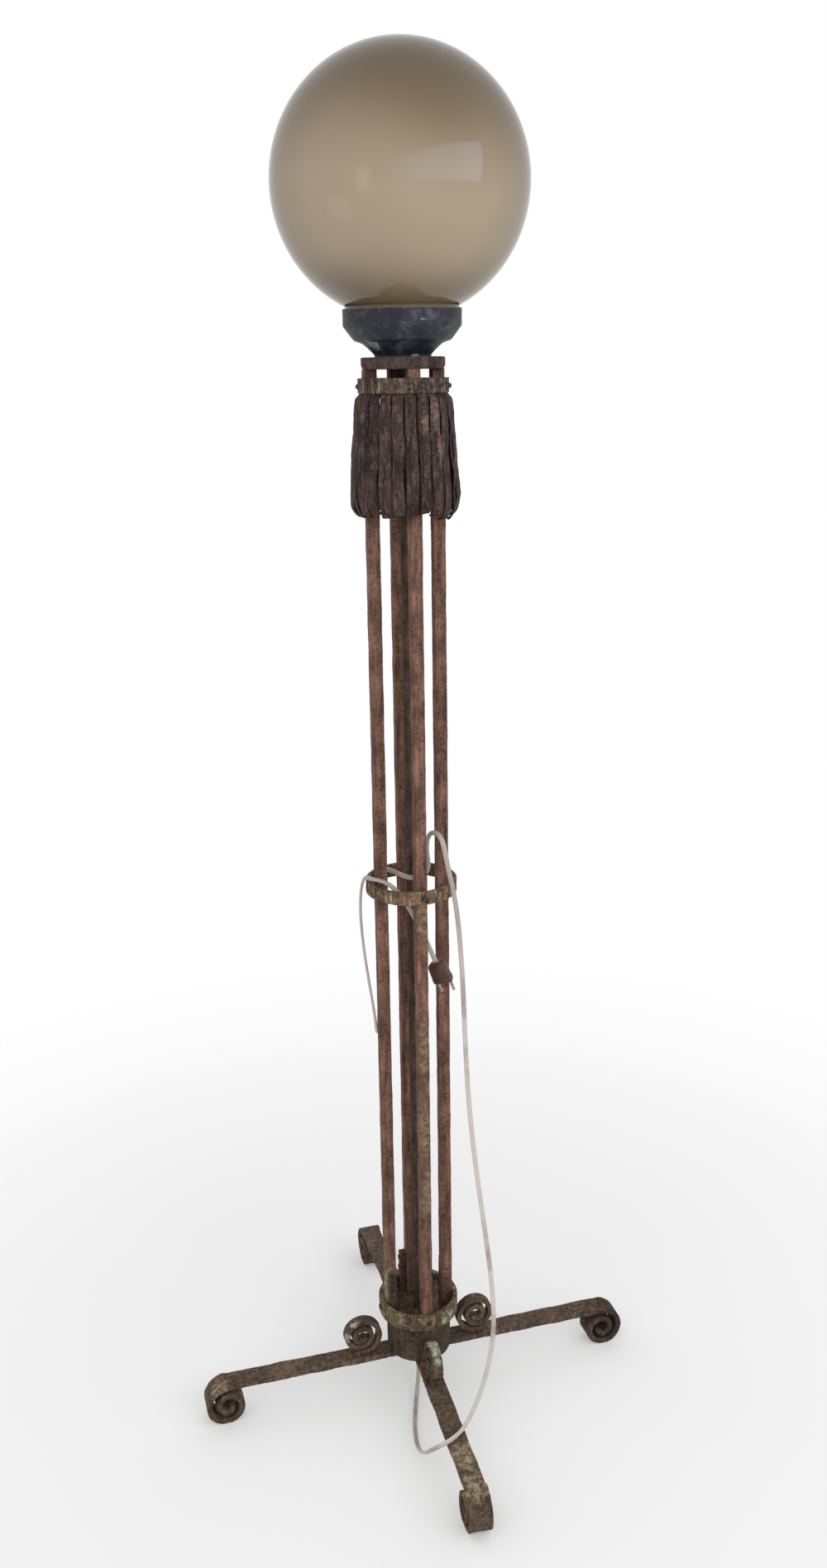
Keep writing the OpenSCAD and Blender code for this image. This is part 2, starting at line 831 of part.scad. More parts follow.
// A smooth line drawn along the route, which starts and ends at its first and last point.
function route(p, i) = i < 0 ? 2 * p[0] - p[1]
    : i >= len(p) ? 2 * p[len(p) - 1] - p[len(p) - 2] : p[i];
function on_curve(p, i, t) =
    (pow(1 - t, 3) * route(p, i - 1) + (3 * t * t * t - 6 * t * t + 4) * route(p, i)
     + (-3 * t * t * t + 3 * t * t + 3 * t + 1) * route(p, i + 1) + t * t * t * route(p, i + 2)) / 6;
flex_path = concat([for (i = [0 : len(FLEX) - 2]) for (t = [0, 0.5]) on_curve(FLEX, i, t)],
                   [FLEX[len(FLEX) - 1]]);
flex_sides = 8;

function unit(v) = v / norm(v);
function heading(p, i) = unit(p[min(i + 1, len(p) - 1)] - p[max(i - 1, 0)]);
// side direction of each ring, carried along the path without a twist
function carry(p, i, side) =
    let (h = heading(p, i))
    unit(side - h * (side * h));
function sides_from(p, i, side) =
    i >= len(p) ? [] : let (s = carry(p, i, side)) concat([s], sides_from(p, i + 1, s));

module flex_cord() {
    n = len(flex_path);
    out = sides_from(flex_path, 0, [1, 0, 0]);
    points = [for (i = [0 : n - 1])
        let (h = i == 0 ? [0, 0, -1] : heading(flex_path, i), u = out[i], v = cross(h, u))
        for (k = [0 : flex_sides - 1])
            let (a = 360 * k / flex_sides)
            flex_path[i] + flex_r * (cos(a) * u + sin(a) * v)];
    walls = [for (i = [0 : n - 2]) for (k = [0 : flex_sides - 1])
        let (a = i * flex_sides + k, b = i * flex_sides + (k + 1) % flex_sides)
        [a, a + flex_sides, b + flex_sides, b]];
    ends = [[for (k = [0 : flex_sides - 1]) k],
            [for (k = [flex_sides - 1 : -1 : 0]) (n - 1) * flex_sides + k]];
    color("#d8c9bd")
        polyhedron(points = points, faces = concat(walls, ends), convexity = 10);
}

// Puts the plug at the end of the flex, neck upwards at the origin.
module at_plug() {
    translate(plug_at)
        rotate([0, -plug_lean, plug_heading])
            rotate(-plug_turn)
                children();
}

// A flat-sided block with round ends, standing on z = 0.
module rounded_block(w, t, h) {
    for (s = [-1, 1])
        translate([s * (w - t) / 2, 0, 0])
            cylinder(r = t / 2, h = h, $fn = 48);
    translate([-(w - t) / 2, -t / 2, 0])
        cube([w - t, t, h]);
}

// Half of the plug that holds the pins.
module plug_body() {
    color(BROWN)
        at_plug()
            difference() {
                translate([0, 0, plug_end])
                    rounded_block(plug_w, plug_t, plug_split);
                for (s = [-1, 1])
                    translate([s * pin_gap / 2, 0, plug_end - past])
                        cylinder(r = pin_r + fit, h = pin_grip + past, $fn = 24);
                translate([0, 0, plug_end - past])
                    cylinder(r = plug_screw_r + fit, h = plug_split + 2 * past, $fn = 24);
            }
}

// Upper half of the plug, with the neck where the flex goes in.
module plug_cover() {
    color(BROWN)
        at_plug()
            difference() {
                union() {
                    translate([0, 0, plug_end + plug_split])
                        rounded_block(plug_w - 2, plug_t, plug_l - plug_split);
                    translate([0, 0, -plug_neck.z])
                        rounded_block(plug_neck.x, plug_neck.y, plug_neck.z);
                }
                translate([0, 0, plug_end])
                    cylinder(r = plug_screw_r + fit, h = plug_screw_l + past, $fn = 24);
            }
}

module plug_screw() {
    color("#7d7364")
        at_plug() {
            translate([0, 0, plug_end])
                cylinder(r = plug_screw_r, h = plug_screw_l, $fn = 24);
            translate([0, 0, plug_end - plug_head_h])
                cylinder(r = plug_head_r, h = plug_head_h, $fn = 24);
        }
}

module plug_pins() {
    color("#b5ac98")
        at_plug()
            for (s = [-1, 1])
                translate([s * pin_gap / 2, 0, plug_end - pin_l])
                    cylinder(r = pin_r, h = pin_l + pin_grip, $fn = 24);
}

globe_glass();
gallery();
gallery_nut();
bulb_envelope();
bulb_cap();
lampholder_cap();
lampholder_barrel();
lampholder_shell();
lampholder_insert();
lampholder_contacts();
terminal_screws();
stem_nipple();
top_plate();
central_tube();
for (i = [0 : 3]) upright(i);
collar_hoop();
fringe_strips();
collar_rivets();
mid_ring();
mid_ring_sleeves();
mid_ring_rivets();
lower_ring();
lower_ring_rivets();
upright_cleats();
cleat_rivets();
stand_disc();
hub_drum();
base_disc();
base_nut();
for (i = [0 : 3]) leg(i);
for (i = [0 : 3]) volute(i);
leg_rivets();
volute_rivets();
flex_cores();
cable_bush();
flex_cord();
plug_body();
plug_cover();
plug_screw();
plug_pins();
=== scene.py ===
"""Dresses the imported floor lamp: forged iron with old paint, smoked glass globe, twin flex and plug."""

import json
import math

import bpy
from bpy.props import FloatProperty, FloatVectorProperty, PointerProperty
from mathutils import Matrix, Vector, noise


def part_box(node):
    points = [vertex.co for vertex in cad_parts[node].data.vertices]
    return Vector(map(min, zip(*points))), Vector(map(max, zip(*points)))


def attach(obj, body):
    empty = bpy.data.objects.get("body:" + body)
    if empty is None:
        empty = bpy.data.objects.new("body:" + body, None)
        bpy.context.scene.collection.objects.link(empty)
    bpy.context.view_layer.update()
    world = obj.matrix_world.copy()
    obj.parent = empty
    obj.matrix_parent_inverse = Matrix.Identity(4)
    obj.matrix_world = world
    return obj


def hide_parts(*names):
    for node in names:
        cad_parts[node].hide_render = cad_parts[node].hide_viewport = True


bl_info = {
    "name": "Wrought Iron Floor Lamp",
    "version": (1, 0, 0),
    "blender": (4, 5, 0),
    "location": "View3D > Sidebar > Floor Lamp",
    "description": "Dresses the floor lamp's frame: forged iron, smoked glass globe, twin flex and plug",
    "category": "Object",
}

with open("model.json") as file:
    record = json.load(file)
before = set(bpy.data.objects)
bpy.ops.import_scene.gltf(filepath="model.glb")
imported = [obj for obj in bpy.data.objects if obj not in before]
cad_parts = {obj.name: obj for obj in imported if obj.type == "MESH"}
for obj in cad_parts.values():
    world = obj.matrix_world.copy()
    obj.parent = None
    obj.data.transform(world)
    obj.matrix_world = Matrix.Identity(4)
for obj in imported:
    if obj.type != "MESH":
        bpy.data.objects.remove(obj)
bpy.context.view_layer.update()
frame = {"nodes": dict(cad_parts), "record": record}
NODES = frame["nodes"]
SIDES = ("right", "rear", "left", "front")
RIM_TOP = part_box("gallery")[1].z
MM = 0.001
WHITE = "#ffffff"

# Heights in metres between which the globe's colour runs from painted shade to painted light and back.
GLOBE_SHADING_HEIGHTS = (1.482, 1.788)

# The camera that the picture was taken with, fitted to the edges of the bars, rings and legs.
CAMERA_PLACE = (-0.4610, -1.6465, 1.4307)
CAMERA_TURNS = ((-15.8, "Z"), (73.3, "X"), (-0.894, "Z"))
LENS_MM, FILM_HEIGHT_MM = 31.6, 36

# The route of the flex in millimetres: the same points that the frame's own flex follows.
FLEX_ROUTE_MM = [
    (0, 0, 51), (0, 0, 30), (-4, -9, 6), (-20, -50, 3.4), (-43, -118, 3.4),
    (-50, -178, 22), (-43, -203, 52), (-24, -213, 67), (-3, -200, 64.5), (14, -186, 66),
    (36, -178, 102), (58, -168, 165), (65, -149, 232), (58, -124, 335), (46, -92, 490),
    (49, -70, 665), (45, -58, 764), (36, -54, 806), (31, -53, 836), (28, -46, 861),
    (18, -23, 860), (15, -16, 832), (20, -23, 804), (3, -24, 794), (-14, -13, 796),
    (-27, 16, 799), (-34, 37, 792), (-34, 39, 745), (-32, 42, 590), (-35, 42, 556),
    (-49, 13, 556), (-51, 13, 590), (-62, 18, 670), (-68, 18, 745), (-64, 12, 797),
    (-57, -9, 795.1), (-48, -30, 802), (-22, -32, 782), (10, -28, 712), (23, -31, 677),
]


def srgb(code):
    """A hex colour as linear red, green, blue and alpha. A colour that is linear already stays."""
    if not isinstance(code, str):
        return tuple(code)
    values = [int(code.lstrip("#")[i : i + 2], 16) / 255 for i in (0, 2, 4)]
    return (*[v / 12.92 if v <= 0.04045 else ((v + 0.055) / 1.055) ** 2.4 for v in values], 1.0)


def colour_setting(name, description, code):
    """A colour that the user can change, with its default as a hex code."""
    return FloatVectorProperty(name=name, description=description, subtype="COLOR", size=4, min=0, max=1,
                               default=srgb(code))


def length_setting(name, description, mm, low=0.0, high=100.0):
    """A length that the user can change, with its default in millimetres."""
    return FloatProperty(name=name, description=description, default=mm * MM, min=low * MM, max=high * MM,
                         subtype="DISTANCE", unit="LENGTH", precision=5)


# Settings
class IronSettings(bpy.types.PropertyGroup):
    """Looks of the iron pieces."""

    hammer: length_setting("Hammer marks", "Depth of the broad marks on forged faces", 0.5, 0, 2)
    pits: length_setting("Pits", "Depth of the pits that rust has eaten", 0.4, 0, 2)
    edge: length_setting("Worn edge", "Rounding of edges on turned and pressed pieces", 0.6, 0, 2)
    bars: colour_setting("Bars", "Rust of the upright bars", "#6c4f43")
    strips: colour_setting("Strips", "Rust of the fringe", "#392c28")
    hoop: colour_setting("Hoop", "Rust of the collar hoop", "#4b3d35")
    plate: colour_setting("Plate", "Rust of the top plate", "#443630")
    legs: colour_setting("Legs", "Rust of the legs and volutes", "#544438")
    hub: colour_setting("Hub", "Rust of the hub and the tube", "#43352b")
    rings: colour_setting("Rings", "Rust of the ring bands", "#584837")
    ochre: colour_setting("Ochre", "Loose ochre grains on the rust", "#84715b")
    paint: colour_setting("Old paint", "Flaking paint on the lower ring", "#8c7c5d")
    mint: colour_setting("Mint paint", "Patches of old mint green paint", "#8f9b84")
    enamel: colour_setting("Dark blue enamel", "Enamel paint of the gallery", "#1f212b")


class GlassSettings(bpy.types.PropertyGroup):
    """Looks of the globe."""

    wall: length_setting("Wall", "Thickness of the globe's glass", 3.0, 1, 6)
    lip: length_setting("Lip", "Rounding of the ground edge of the neck", 0.8, 0, 1.4)
    # The globe's three tones: its smoked tint, with painted shade at its poles and painted light around its
    # belly.
    smoke_painted_shade: colour_setting("Dense smoke", "Colour of the glass at its poles", "#574834")
    smoke: colour_setting("Smoke", "Colour of the glass between pole and belly", "#7b6a53")
    smoke_painted_light: colour_setting("Thin smoke", "Colour of the glass around its belly", "#ad9d86")


class FlexSettings(bpy.types.PropertyGroup):
    """Looks of the flex and plug."""

    width: length_setting("Width", "Width of the twin flex", 6.4, 3, 10)
    thickness: length_setting("Thickness", "Thickness of the twin flex", 3.7, 1.5, 6)
    colour: colour_setting("Flex", "Aged white of the flex", "#c8c0b8")
    # this tone is the flex's grime, and also its painted shade above 0.68 m, where it hangs on the iron
    grime_and_shade: colour_setting("Grime", "Dirt on the flex", "#a0948e")
    resin: colour_setting("Phenolic resin", "Brown of the plug", "#4d3228")


class StageSettings(bpy.types.PropertyGroup):
    """Floor and light."""

    floor: colour_setting("Floor", "Colour of the studio floor", "#f5f5f5")
    around: FloatProperty(name="Soft light", description="Strength of the light from all around",
                          default=0.78, min=0, max=2)
    window: FloatProperty(name="Window", description="Power of the wide softbox at the window",
                          default=17, min=0, max=200, unit="POWER")


class LampSettings(bpy.types.PropertyGroup):
    """All settings of the floor lamp."""

    iron: PointerProperty(type=IronSettings, name="Iron", description="Forged and pressed iron")
    glass: PointerProperty(type=GlassSettings, name="Glass", description="Smoked glass globe")
    flex: PointerProperty(type=FlexSettings, name="Flex", description="Flex and plug")
    stage: PointerProperty(type=StageSettings, name="Stage", description="Floor and light")


def settings():
    """The lamp's settings in this scene."""
    return bpy.context.scene.floor_lamp


# Shader nodes
def add_node(tree, kind, inputs=(), stops=(), **properties):
    """Adds a shader node. Inputs are values or links for its sockets, by name or in their order, and a
    node among them stands for its first output. Stops are the places and colours of a colour ramp, and
    properties are the node's own settings."""
    made = tree.nodes.new("ShaderNode" + kind)
    for i, (place, colour) in enumerate(stops):
        ramp = made.color_ramp.elements
        stop = ramp[i] if i < 2 else ramp.new(place)
        stop.position = place
        stop.color = srgb(colour)
    for key, value in properties.items():
        setattr(made, key, value)
    for key, value in inputs.items() if isinstance(inputs, dict) else enumerate(inputs):
        if isinstance(value, bpy.types.Node):
            value = value.outputs[0]
        if isinstance(value, bpy.types.NodeSocket):
            tree.links.new(value, made.inputs[key])
        else:
            made.inputs[key].default_value = srgb(value) if isinstance(value, str) else value
    return made


def new_material(name):
    """An empty material, its node tree, and the place on the piece that its patterns read."""
    material = bpy.data.materials.new(name)
    material.use_nodes = True
    tree = material.node_tree
    tree.nodes.clear()
    return material, tree, add_node(tree, "TexCoord").outputs["Object"]


def sees_backdrop(tree):
    """White for the rays that see the white backdrop: the camera's, and what metal and glass send on."""
    rays = add_node(tree, "LightPath").outputs
    sent_on = add_node(tree, "Math", (rays["Is Glossy Ray"], rays["Is Transmission Ray"]),
                       operation="MAXIMUM")
    return add_node(tree, "Math", (rays["Is Camera Ray"], sent_on), operation="MAXIMUM")


def shaded(colour, factor):
    """A lighter or darker tone of a colour."""
    return (*[min(v * factor, 1.0) for v in srgb(colour)[:3]], 1.0)


def four_tones(colour):
    """A colour's tones from its hollows to its worn places."""
    return [shaded(colour, factor) for factor in (0.5, 0.85, 1.2, 1.85)]


def overlay(tree, colour, height, mask, tones, shades):
    """Lays a coat over a surface where the mask is white: its colour, and its height above the rest."""
    coat = add_node(tree, "ValToRGB", (shades,), zip((0.36, 0.46, 0.55, 0.66), tones))
    return (add_node(tree, "MixRGB", (mask, colour, coat)),
            add_node(tree, "Math", (mask, height), operation="ADD"))


def torn_patch(tree, place, torn, x, y, z, radius, tall):
    """A mask that is white around a point given in millimetres, with a torn edge; tall is its height
    against its width."""
    offset = add_node(tree, "VectorMath", (place, (x * MM, y * MM, z * MM)), operation="SUBTRACT")
    squeezed = add_node(tree, "VectorMath", (offset, (1, 1, 1 / tall)), operation="MULTIPLY")
    apart = add_node(tree, "VectorMath", (squeezed,), operation="LENGTH").outputs["Value"]
    near = add_node(tree, "MapRange", (apart, radius * MM * 1.6, radius * MM * 0.2, 0.0, 0.4))
    whole = add_node(tree, "Math", (near, torn), operation="ADD")
    return add_node(tree, "MapRange", (whole, 0.65, 0.76))


def rusted_iron(name, colour, grain, grain_share, flakes=(), flake_share=0.0, patches=(), drawn=1.0,
                painted_shade_inside=False):
    """Wrought iron rusted outdoors: a dull brown skin in patches and streaks, with loose pale grains and
    dark pits. What is left of its paint shows as flakes with a raised edge, and in whole patches
    given as (x, y, z, radius, tones, height against width) in millimetres. Drawn is how much the grains
    run down the iron, and painted_shade_inside paints shade on the faces that look at the lamp's axis."""
    material, tree, place = new_material(name)
    # patches of rust about 35 mm across, and streaks about 6 mm wide that run down the iron
    blotches = add_node(tree, "TexNoise",
                        {"Vector": place, "Scale": 1 / (35 * MM), "Detail": 8.0, "Roughness": 0.68})
    down = add_node(tree, "Mapping", {"Vector": place, "Scale": (1.0, 1.0, 0.11)})
    streaks = add_node(tree, "TexNoise",
                       {"Vector": down, "Scale": 1 / (6 * MM), "Detail": 4.0, "Roughness": 0.6})
    both = add_node(tree, "Math", (blotches, streaks), operation="ADD")
    share = add_node(tree, "Math", (both, 0.5), operation="MULTIPLY")
    rust = add_node(tree, "ValToRGB", (share,), zip((0.40, 0.47, 0.53, 0.60), four_tones(colour)))
    # loose grains 4 mm apart
    run = add_node(tree, "Mapping", {"Vector": place, "Scale": (1.0, 1.0, drawn)})
    grains = add_node(tree, "TexNoise",
                      {"Vector": run, "Scale": 1 / (4 * MM), "Detail": 5.0, "Roughness": 0.7})
    grain_mask = add_node(tree, "MapRange", (grains, 0.52, 0.64, 0.0, grain_share))
    grainy = add_node(tree, "MixRGB", (grain_mask, rust, grain))
    # dark pits 5 mm apart
    pits = add_node(tree, "TexVoronoi", {"Vector": place, "Scale": 1 / (5 * MM)})
    pit_mask = add_node(tree, "MapRange", (pits, 0.1, 0.4, 0.45, 1.0))
    tint = add_node(tree, "MixRGB", (1.0, grainy, pit_mask), blend_type="MULTIPLY")
    height = add_node(tree, "Math", (grains, pits), operation="ADD")
    if flakes or patches:
        # torn edges of the paint, its flakes about 12 mm across
        torn = add_node(tree, "TexNoise", {"Vector": place, "Scale": 1 / (12 * MM), "Detail": 9.0,
                                           "Roughness": 0.76, "Distortion": 0.5})
        shades = add_node(tree, "TexNoise",
                          {"Vector": place, "Scale": 1 / (8 * MM), "Detail": 6.0, "Roughness": 0.78})
    if flakes:
        edge = 0.5 - (flake_share - 0.5) * 0.34
        mask = add_node(tree, "MapRange", (torn, edge - 0.02, edge + 0.05))
        tint, height = overlay(tree, tint, height, mask, flakes, shades)
    for *spot, tones, tall in patches:
        mask = torn_patch(tree, place, torn, *spot, tall)
        tint, height = overlay(tree, tint, height, mask, tones, shades)
    if painted_shade_inside:
        # painted shade: the faces that look at the lamp's axis are darkened
        level = add_node(tree, "VectorMath", (place, (1, 1, 0)), operation="MULTIPLY")
        away = add_node(tree, "VectorMath", (level,), operation="NORMALIZE")
        normal = add_node(tree, "TexCoord").outputs["Normal"]
        facing = add_node(tree, "VectorMath", (normal, away), operation="DOT_PRODUCT").outputs["Value"]
        painted_inner_shade = add_node(tree, "MapRange", (facing, -0.1, 0.6, 0.16, 1.0))
        tint = add_node(tree, "MixRGB", (1.0, tint, painted_inner_shade), blend_type="MULTIPLY")
    bump = add_node(tree, "Bump", {"Height": height, "Strength": 0.9, "Distance": 0.6 * MM})
    shader = add_node(tree, "BsdfPrincipled", {"Base Color": tint, "Normal": bump, "Roughness": 0.85,
                                               "Metallic": 0.0, "Specular IOR Level": 0.22})
    add_node(tree, "OutputMaterial", (shader,))
    return material


def blue_enamel(name, colour, patches):
    """Dark blue enamel paint on pressed steel: half gloss, faded and rubbed to grey, with its primer
    showing in chips and the bare steel along its rim."""
    material, tree, place = new_material(name)
    clouds = add_node(tree, "TexNoise",
                      {"Vector": place, "Scale": 1 / (20 * MM), "Detail": 7.0, "Roughness": 0.68})
    paint = add_node(tree, "ValToRGB", (clouds,), (
        (0.38, shaded(colour, 0.65)), (0.49, colour), (0.58, "#34363b"), (0.7, "#54575a")))
    # rubbed streaks that run around the cup, 5 mm high and four times as long
    around = add_node(tree, "Mapping", {"Vector": place, "Scale": (0.25, 0.25, 1.0)})
    rubbed = add_node(tree, "TexNoise",
                      {"Vector": around, "Scale": 1 / (5 * MM), "Detail": 5.0, "Roughness": 0.7})
    rub_mask = add_node(tree, "MapRange", (rubbed, 0.58, 0.72, 0.0, 0.34))
    faded = add_node(tree, "MixRGB", (rub_mask, paint, "#666a6c"))
    height = add_node(tree, "SeparateXYZ", (place,)).outputs["Z"]
    # the bare edge of the rim, about a millimetre high
    rim = add_node(tree, "MapRange", (height, RIM_TOP - 1.6 * MM, RIM_TOP - 0.4 * MM, 0.0, 0.75))
    rimmed = add_node(tree, "MixRGB", (rim, faded, "#8e897d"))
    torn = add_node(tree, "TexNoise",
                    {"Vector": place, "Scale": 1 / (6 * MM), "Detail": 8.0, "Roughness": 0.78})
    chips = add_node(tree, "MapRange", (torn, 0.72, 0.76))
    tint, relief = overlay(tree, rimmed, clouds, chips, four_tones("#6f7a70"), torn)
    for *spot, tones, tall in patches:
        mask = torn_patch(tree, place, torn, *spot, tall)
        tint, relief = overlay(tree, tint, relief, mask, tones, torn)
    bump = add_node(tree, "Bump", {"Height": relief, "Strength": 0.6, "Distance": 0.25 * MM})
    shader = add_node(tree, "BsdfPrincipled", {"Base Color": tint, "Normal": bump, "Roughness": 0.55,
                                               "Specular IOR Level": 0.35})
    add_node(tree, "OutputMaterial", (shader,))
    return material


def smoked_glass(name, dark, middle, light):
    """Smoked and lightly opal blown glass: taupe and polished, with painted shade towards the poles and
    painted light around the belly, and its smoke denser where the wall is seen edge on. The lampholder
    shows faintly through it."""
    material, tree, place = new_material(name)
    # the painted shade and light lean a little, and the smoke has slow clouds about 160 mm across
    leaning = add_node(tree, "VectorMath", (place, (0.11, -0.03, 1.0)), operation="DOT_PRODUCT")
    clouds = add_node(tree, "TexNoise", {"Vector": place, "Scale": 1 / (160 * MM), "Detail": 1.0})
    shift = add_node(tree, "MapRange", (clouds, 0.3, 0.7, -0.012, 0.012))
    level = add_node(tree, "Math", (leaning.outputs["Value"], shift), operation="ADD")
    height = add_node(tree, "MapRange", (level, *GLOBE_SHADING_HEIGHTS))
    # painted shade at the foot and the top of the globe and painted light around its belly, over its smoked
    # tint
    smoke = add_node(tree, "ValToRGB", (height,), (
        (0.0, shaded(dark, 1.2)), (0.1, middle), (0.22, light), (0.36, light), (0.5, light), (0.72, middle),
        (0.97, dark)))
    smoke.color_ramp.interpolation = "B_SPLINE"
    edge = add_node(tree, "MapRange",
                    (add_node(tree, "LayerWeight", {"Blend": 0.3}).outputs["Facing"], 0.2, 0.95))
    colour = add_node(tree, "MixRGB", (edge, smoke, shaded(dark, 0.8)))
    shader = add_node(tree, "BsdfPrincipled", {"Base Color": colour, "Roughness": 0.1, "IOR": 1.52,
                                               "Transmission Weight": 0.12, "Specular IOR Level": 0.27})
    add_node(tree, "OutputMaterial", (shader,))
    return material


def plain_finish(name, tones, roughness, pattern_mm, grimy_and_shaded_above=None, **sockets):
    """A finish of one kind, with slow changes of tone and a slight unevenness. Above the height of
    grimy_and_shaded_above it darkens towards its first tone, as grime and painted shade."""
    material, tree, place = new_material(name)
    shades = add_node(tree, "TexNoise",
                      {"Vector": place, "Scale": 1 / (pattern_mm * MM), "Detail": 6.0, "Roughness": 0.6})
    colour = add_node(tree, "ValToRGB", (shades,), zip((0.36, 0.5, 0.64), tones))
    if grimy_and_shaded_above:
        # grime and painted shade: darker above that height
        height = add_node(tree, "SeparateXYZ", (place,)).outputs["Z"]
        dirt_and_shade = add_node(tree, "MapRange", (height, grimy_and_shaded_above - 0.1, grimy_and_shaded_above + 0.1, 0.0, 0.7))
        colour = add_node(tree, "MixRGB", (dirt_and_shade, colour, tones[0]))
    bump = add_node(tree, "Bump", {"Height": shades, "Strength": 0.5, "Distance": 0.03 * MM})
    shader = add_node(tree, "BsdfPrincipled",
                      {"Base Color": colour, "Normal": bump, "Roughness": roughness, **sockets})
    add_node(tree, "OutputMaterial", (shader,))
    return material


def all_finishes():
    """Each finish by its key: the function that makes it, and what that is given in order and by name."""
    iron, glass, flex = settings().iron, settings().glass, settings().flex
    paint, mint, cream, clay, tan, lime, pale = (four_tones(colour) for colour in (
        iron.paint, iron.mint, "#918a74", "#786450", "#6c574f", "#a19d85", "#a09a80"))
    crust = (shaded(iron.legs, 0.7), "#6c5a45", "#93846c", "#aea28a")
    brown = [shaded(flex.resin, factor) for factor in (0.7, 1, 1.3)]
    white = (flex.grime_and_shade, flex.colour, shaded(flex.colour, 1.08))
    metal = {"Metallic": 1.0}
    return {
        "bars": (rusted_iron, ("Wrought iron bars, brown rust", iron.bars, "#8a6c50", 0.45), {
            "drawn": 0.35,
            "patches": ((0, -49, 748, 12, clay, 3), (4, -49, 560, 14, clay, 4),
                        (-4, -49, 440, 14, clay, 4), (3, -49, 335, 14, clay, 3),
                        (-48, -4, 165, 14, crust, 3))}),
        "strips": (rusted_iron, ("Wrought iron strips, dark rust", iron.strips, "#77635b", 0.6), {
            # painted shade on the strips' inner faces
            "drawn": 0.3, "painted_shade_inside": True,
            "patches": ((22, -53, 1385, 8, tan, 3), (9, -57, 1372, 6, tan, 3),
                        (30, -55, 1345, 6, tan, 4))}),
        "tube": (rusted_iron, ("Drawn iron tube, dark rust", iron.hub, "#63523f", 0.4), {"drawn": 0.35}),
        "hoop": (rusted_iron, ("Wrought iron hoop, brown rust", iron.hoop, "#9a8274", 0.75),
                 {"drawn": 0.22}),
        "hub": (rusted_iron, ("Wrought iron hub, dark rust", iron.hub, "#7a6a52", 0.5), {}),
        "legs": (rusted_iron, ("Wrought iron legs, rust and old paint", iron.legs, iron.ochre, 0.6,
                               paint, 0.14), {
            "patches": ((-3, -82, 119, 9, lime, 1), (-3, -96, 116, 9, mint, 1),
                        (-3, -108, 109, 7, mint, 1), (-112, -7, 96, 9, cream, 1),
                        (-98, -7, 116, 8, cream, 1), (-5, -235, 62, 30, crust, 1),
                        (-7, -285, 58, 26, crust, 1), (-296, -8, 56, 15, crust, 1),
                        (-4, -165, 88, 34, four_tones("#6d5c43"), 1), (-4, -130, 98, 16, crust, 1),
                        (308, 0, 34, 46, four_tones("#3c2f28"), 1))}),
        "lower_ring": (rusted_iron, ("Wrought iron ring, flaking green paint", iron.rings, iron.ochre,
                                     0.5, paint, 0.46), {
            "drawn": 0.5, "patches": ((24, -51, 128, 7, mint, 1), (36, -44, 134, 6, mint, 1))}),
        "inner": (rusted_iron, ("Wrought iron inside the ring, dark rust", iron.hub, iron.ochre, 0.55,
                                paint, 0.12), {}),
        "mid_ring": (rusted_iron, ("Wrought iron ring, ochre rust", "#6b5343", "#a98f7b", 1.0,
                                   four_tones("#7f6748"), 0.4), {
            "drawn": 0.45,
            "patches": ((-45, -39, 777, 1.5, pale, 5), (-40, -44, 780, 1.7, pale, 5),
                        (4, -60, 777, 2.2, four_tones("#2a1f19"), 1.6))}),
        "plate": (rusted_iron, ("Turned iron plate, brown rust", iron.plate, "#6c5c53", 0.35), {}),
        "rivets": (rusted_iron, ("Iron rivets, brown rust", iron.hub, iron.ochre, 0.4), {}),
        "enamel": (blue_enamel, ("Dark blue enamel paint on steel", iron.enamel, (
            (-41, -20, 1460, 9, four_tones("#6a8072"), 0.8), (6, -34, 1448, 5, cream, 0.4),
            (5.4, -70, 1487, 4, four_tones("#63686a"), 0.3))), {}),
        # smoked tint, with painted shade at the poles and painted light around the belly
        "globe": (smoked_glass, ("Smoked opal glass", glass.smoke_painted_shade, glass.smoke,
                                 glass.smoke_painted_light), {}),
        # extruded: even and softly shining, and darker where it hangs on the iron, as grime and painted
        # shade
        "flex": (plain_finish, ("PVC flex, aged white", white, 0.45, 60), {"grimy_and_shaded_above": 0.68}),
        # pressed in a mould: smooth and brown, with a dulled shine
        "resin": (plain_finish, ("Brown phenolic resin, moulded", brown, 0.42, 8), {}),
        # tarnished metals, turned or pressed: soft glints in yellow, warm grey and pale grey
        "brass": (plain_finish, ("Dull brass", ("#8b7440", "#a98d4f", "#b89c60"), 0.42, 6), metal),
        "pins": (plain_finish, ("Plated steel pins, dull", ("#8a8375", "#a59d8d", "#bab2a0"), 0.42, 5),
                 metal),
        "cap": (plain_finish, ("Pressed aluminium cap", ("#a09a8c", "#b9b3a4", "#c4bfb2"), 0.35, 6),
                metal),
        # glazed and fired: off-white, with a wet shine
        "porcelain": (plain_finish, ("Glazed porcelain", ("#cfc9bb", "#d9d4c8", "#e2ddd2"), 0.18, 9), {}),
        # etched: milky, and half of the light goes through
        "bulb": (plain_finish, ("Frosted bulb glass", ("#dcd8cc", "#e8e4d8", "#eeebe0"), 0.5, 20),
                 {"Transmission Weight": 0.5}),
        # moulded: black and nearly matt
        "rubber": (plain_finish, ("Black rubber, moulded", ("#1f1c1a", "#2b2724", "#35302c"), 0.75, 4),
                   {}),
    }


FINISHES = {}


def finish(key):
    """The finish of that key, made when it is first asked for."""
    if key not in FINISHES:
        make, in_order, by_name = all_finishes()[key]
        FINISHES[key] = make(*in_order, **by_name)
    return FINISHES[key]


# Modelling
def nothing():
    """Deselects everything, before a new primitive."""
    if bpy.context.mode != "OBJECT":
        bpy.ops.object.mode_set(mode="OBJECT")
    bpy.ops.object.select_all(action="DESELECT")


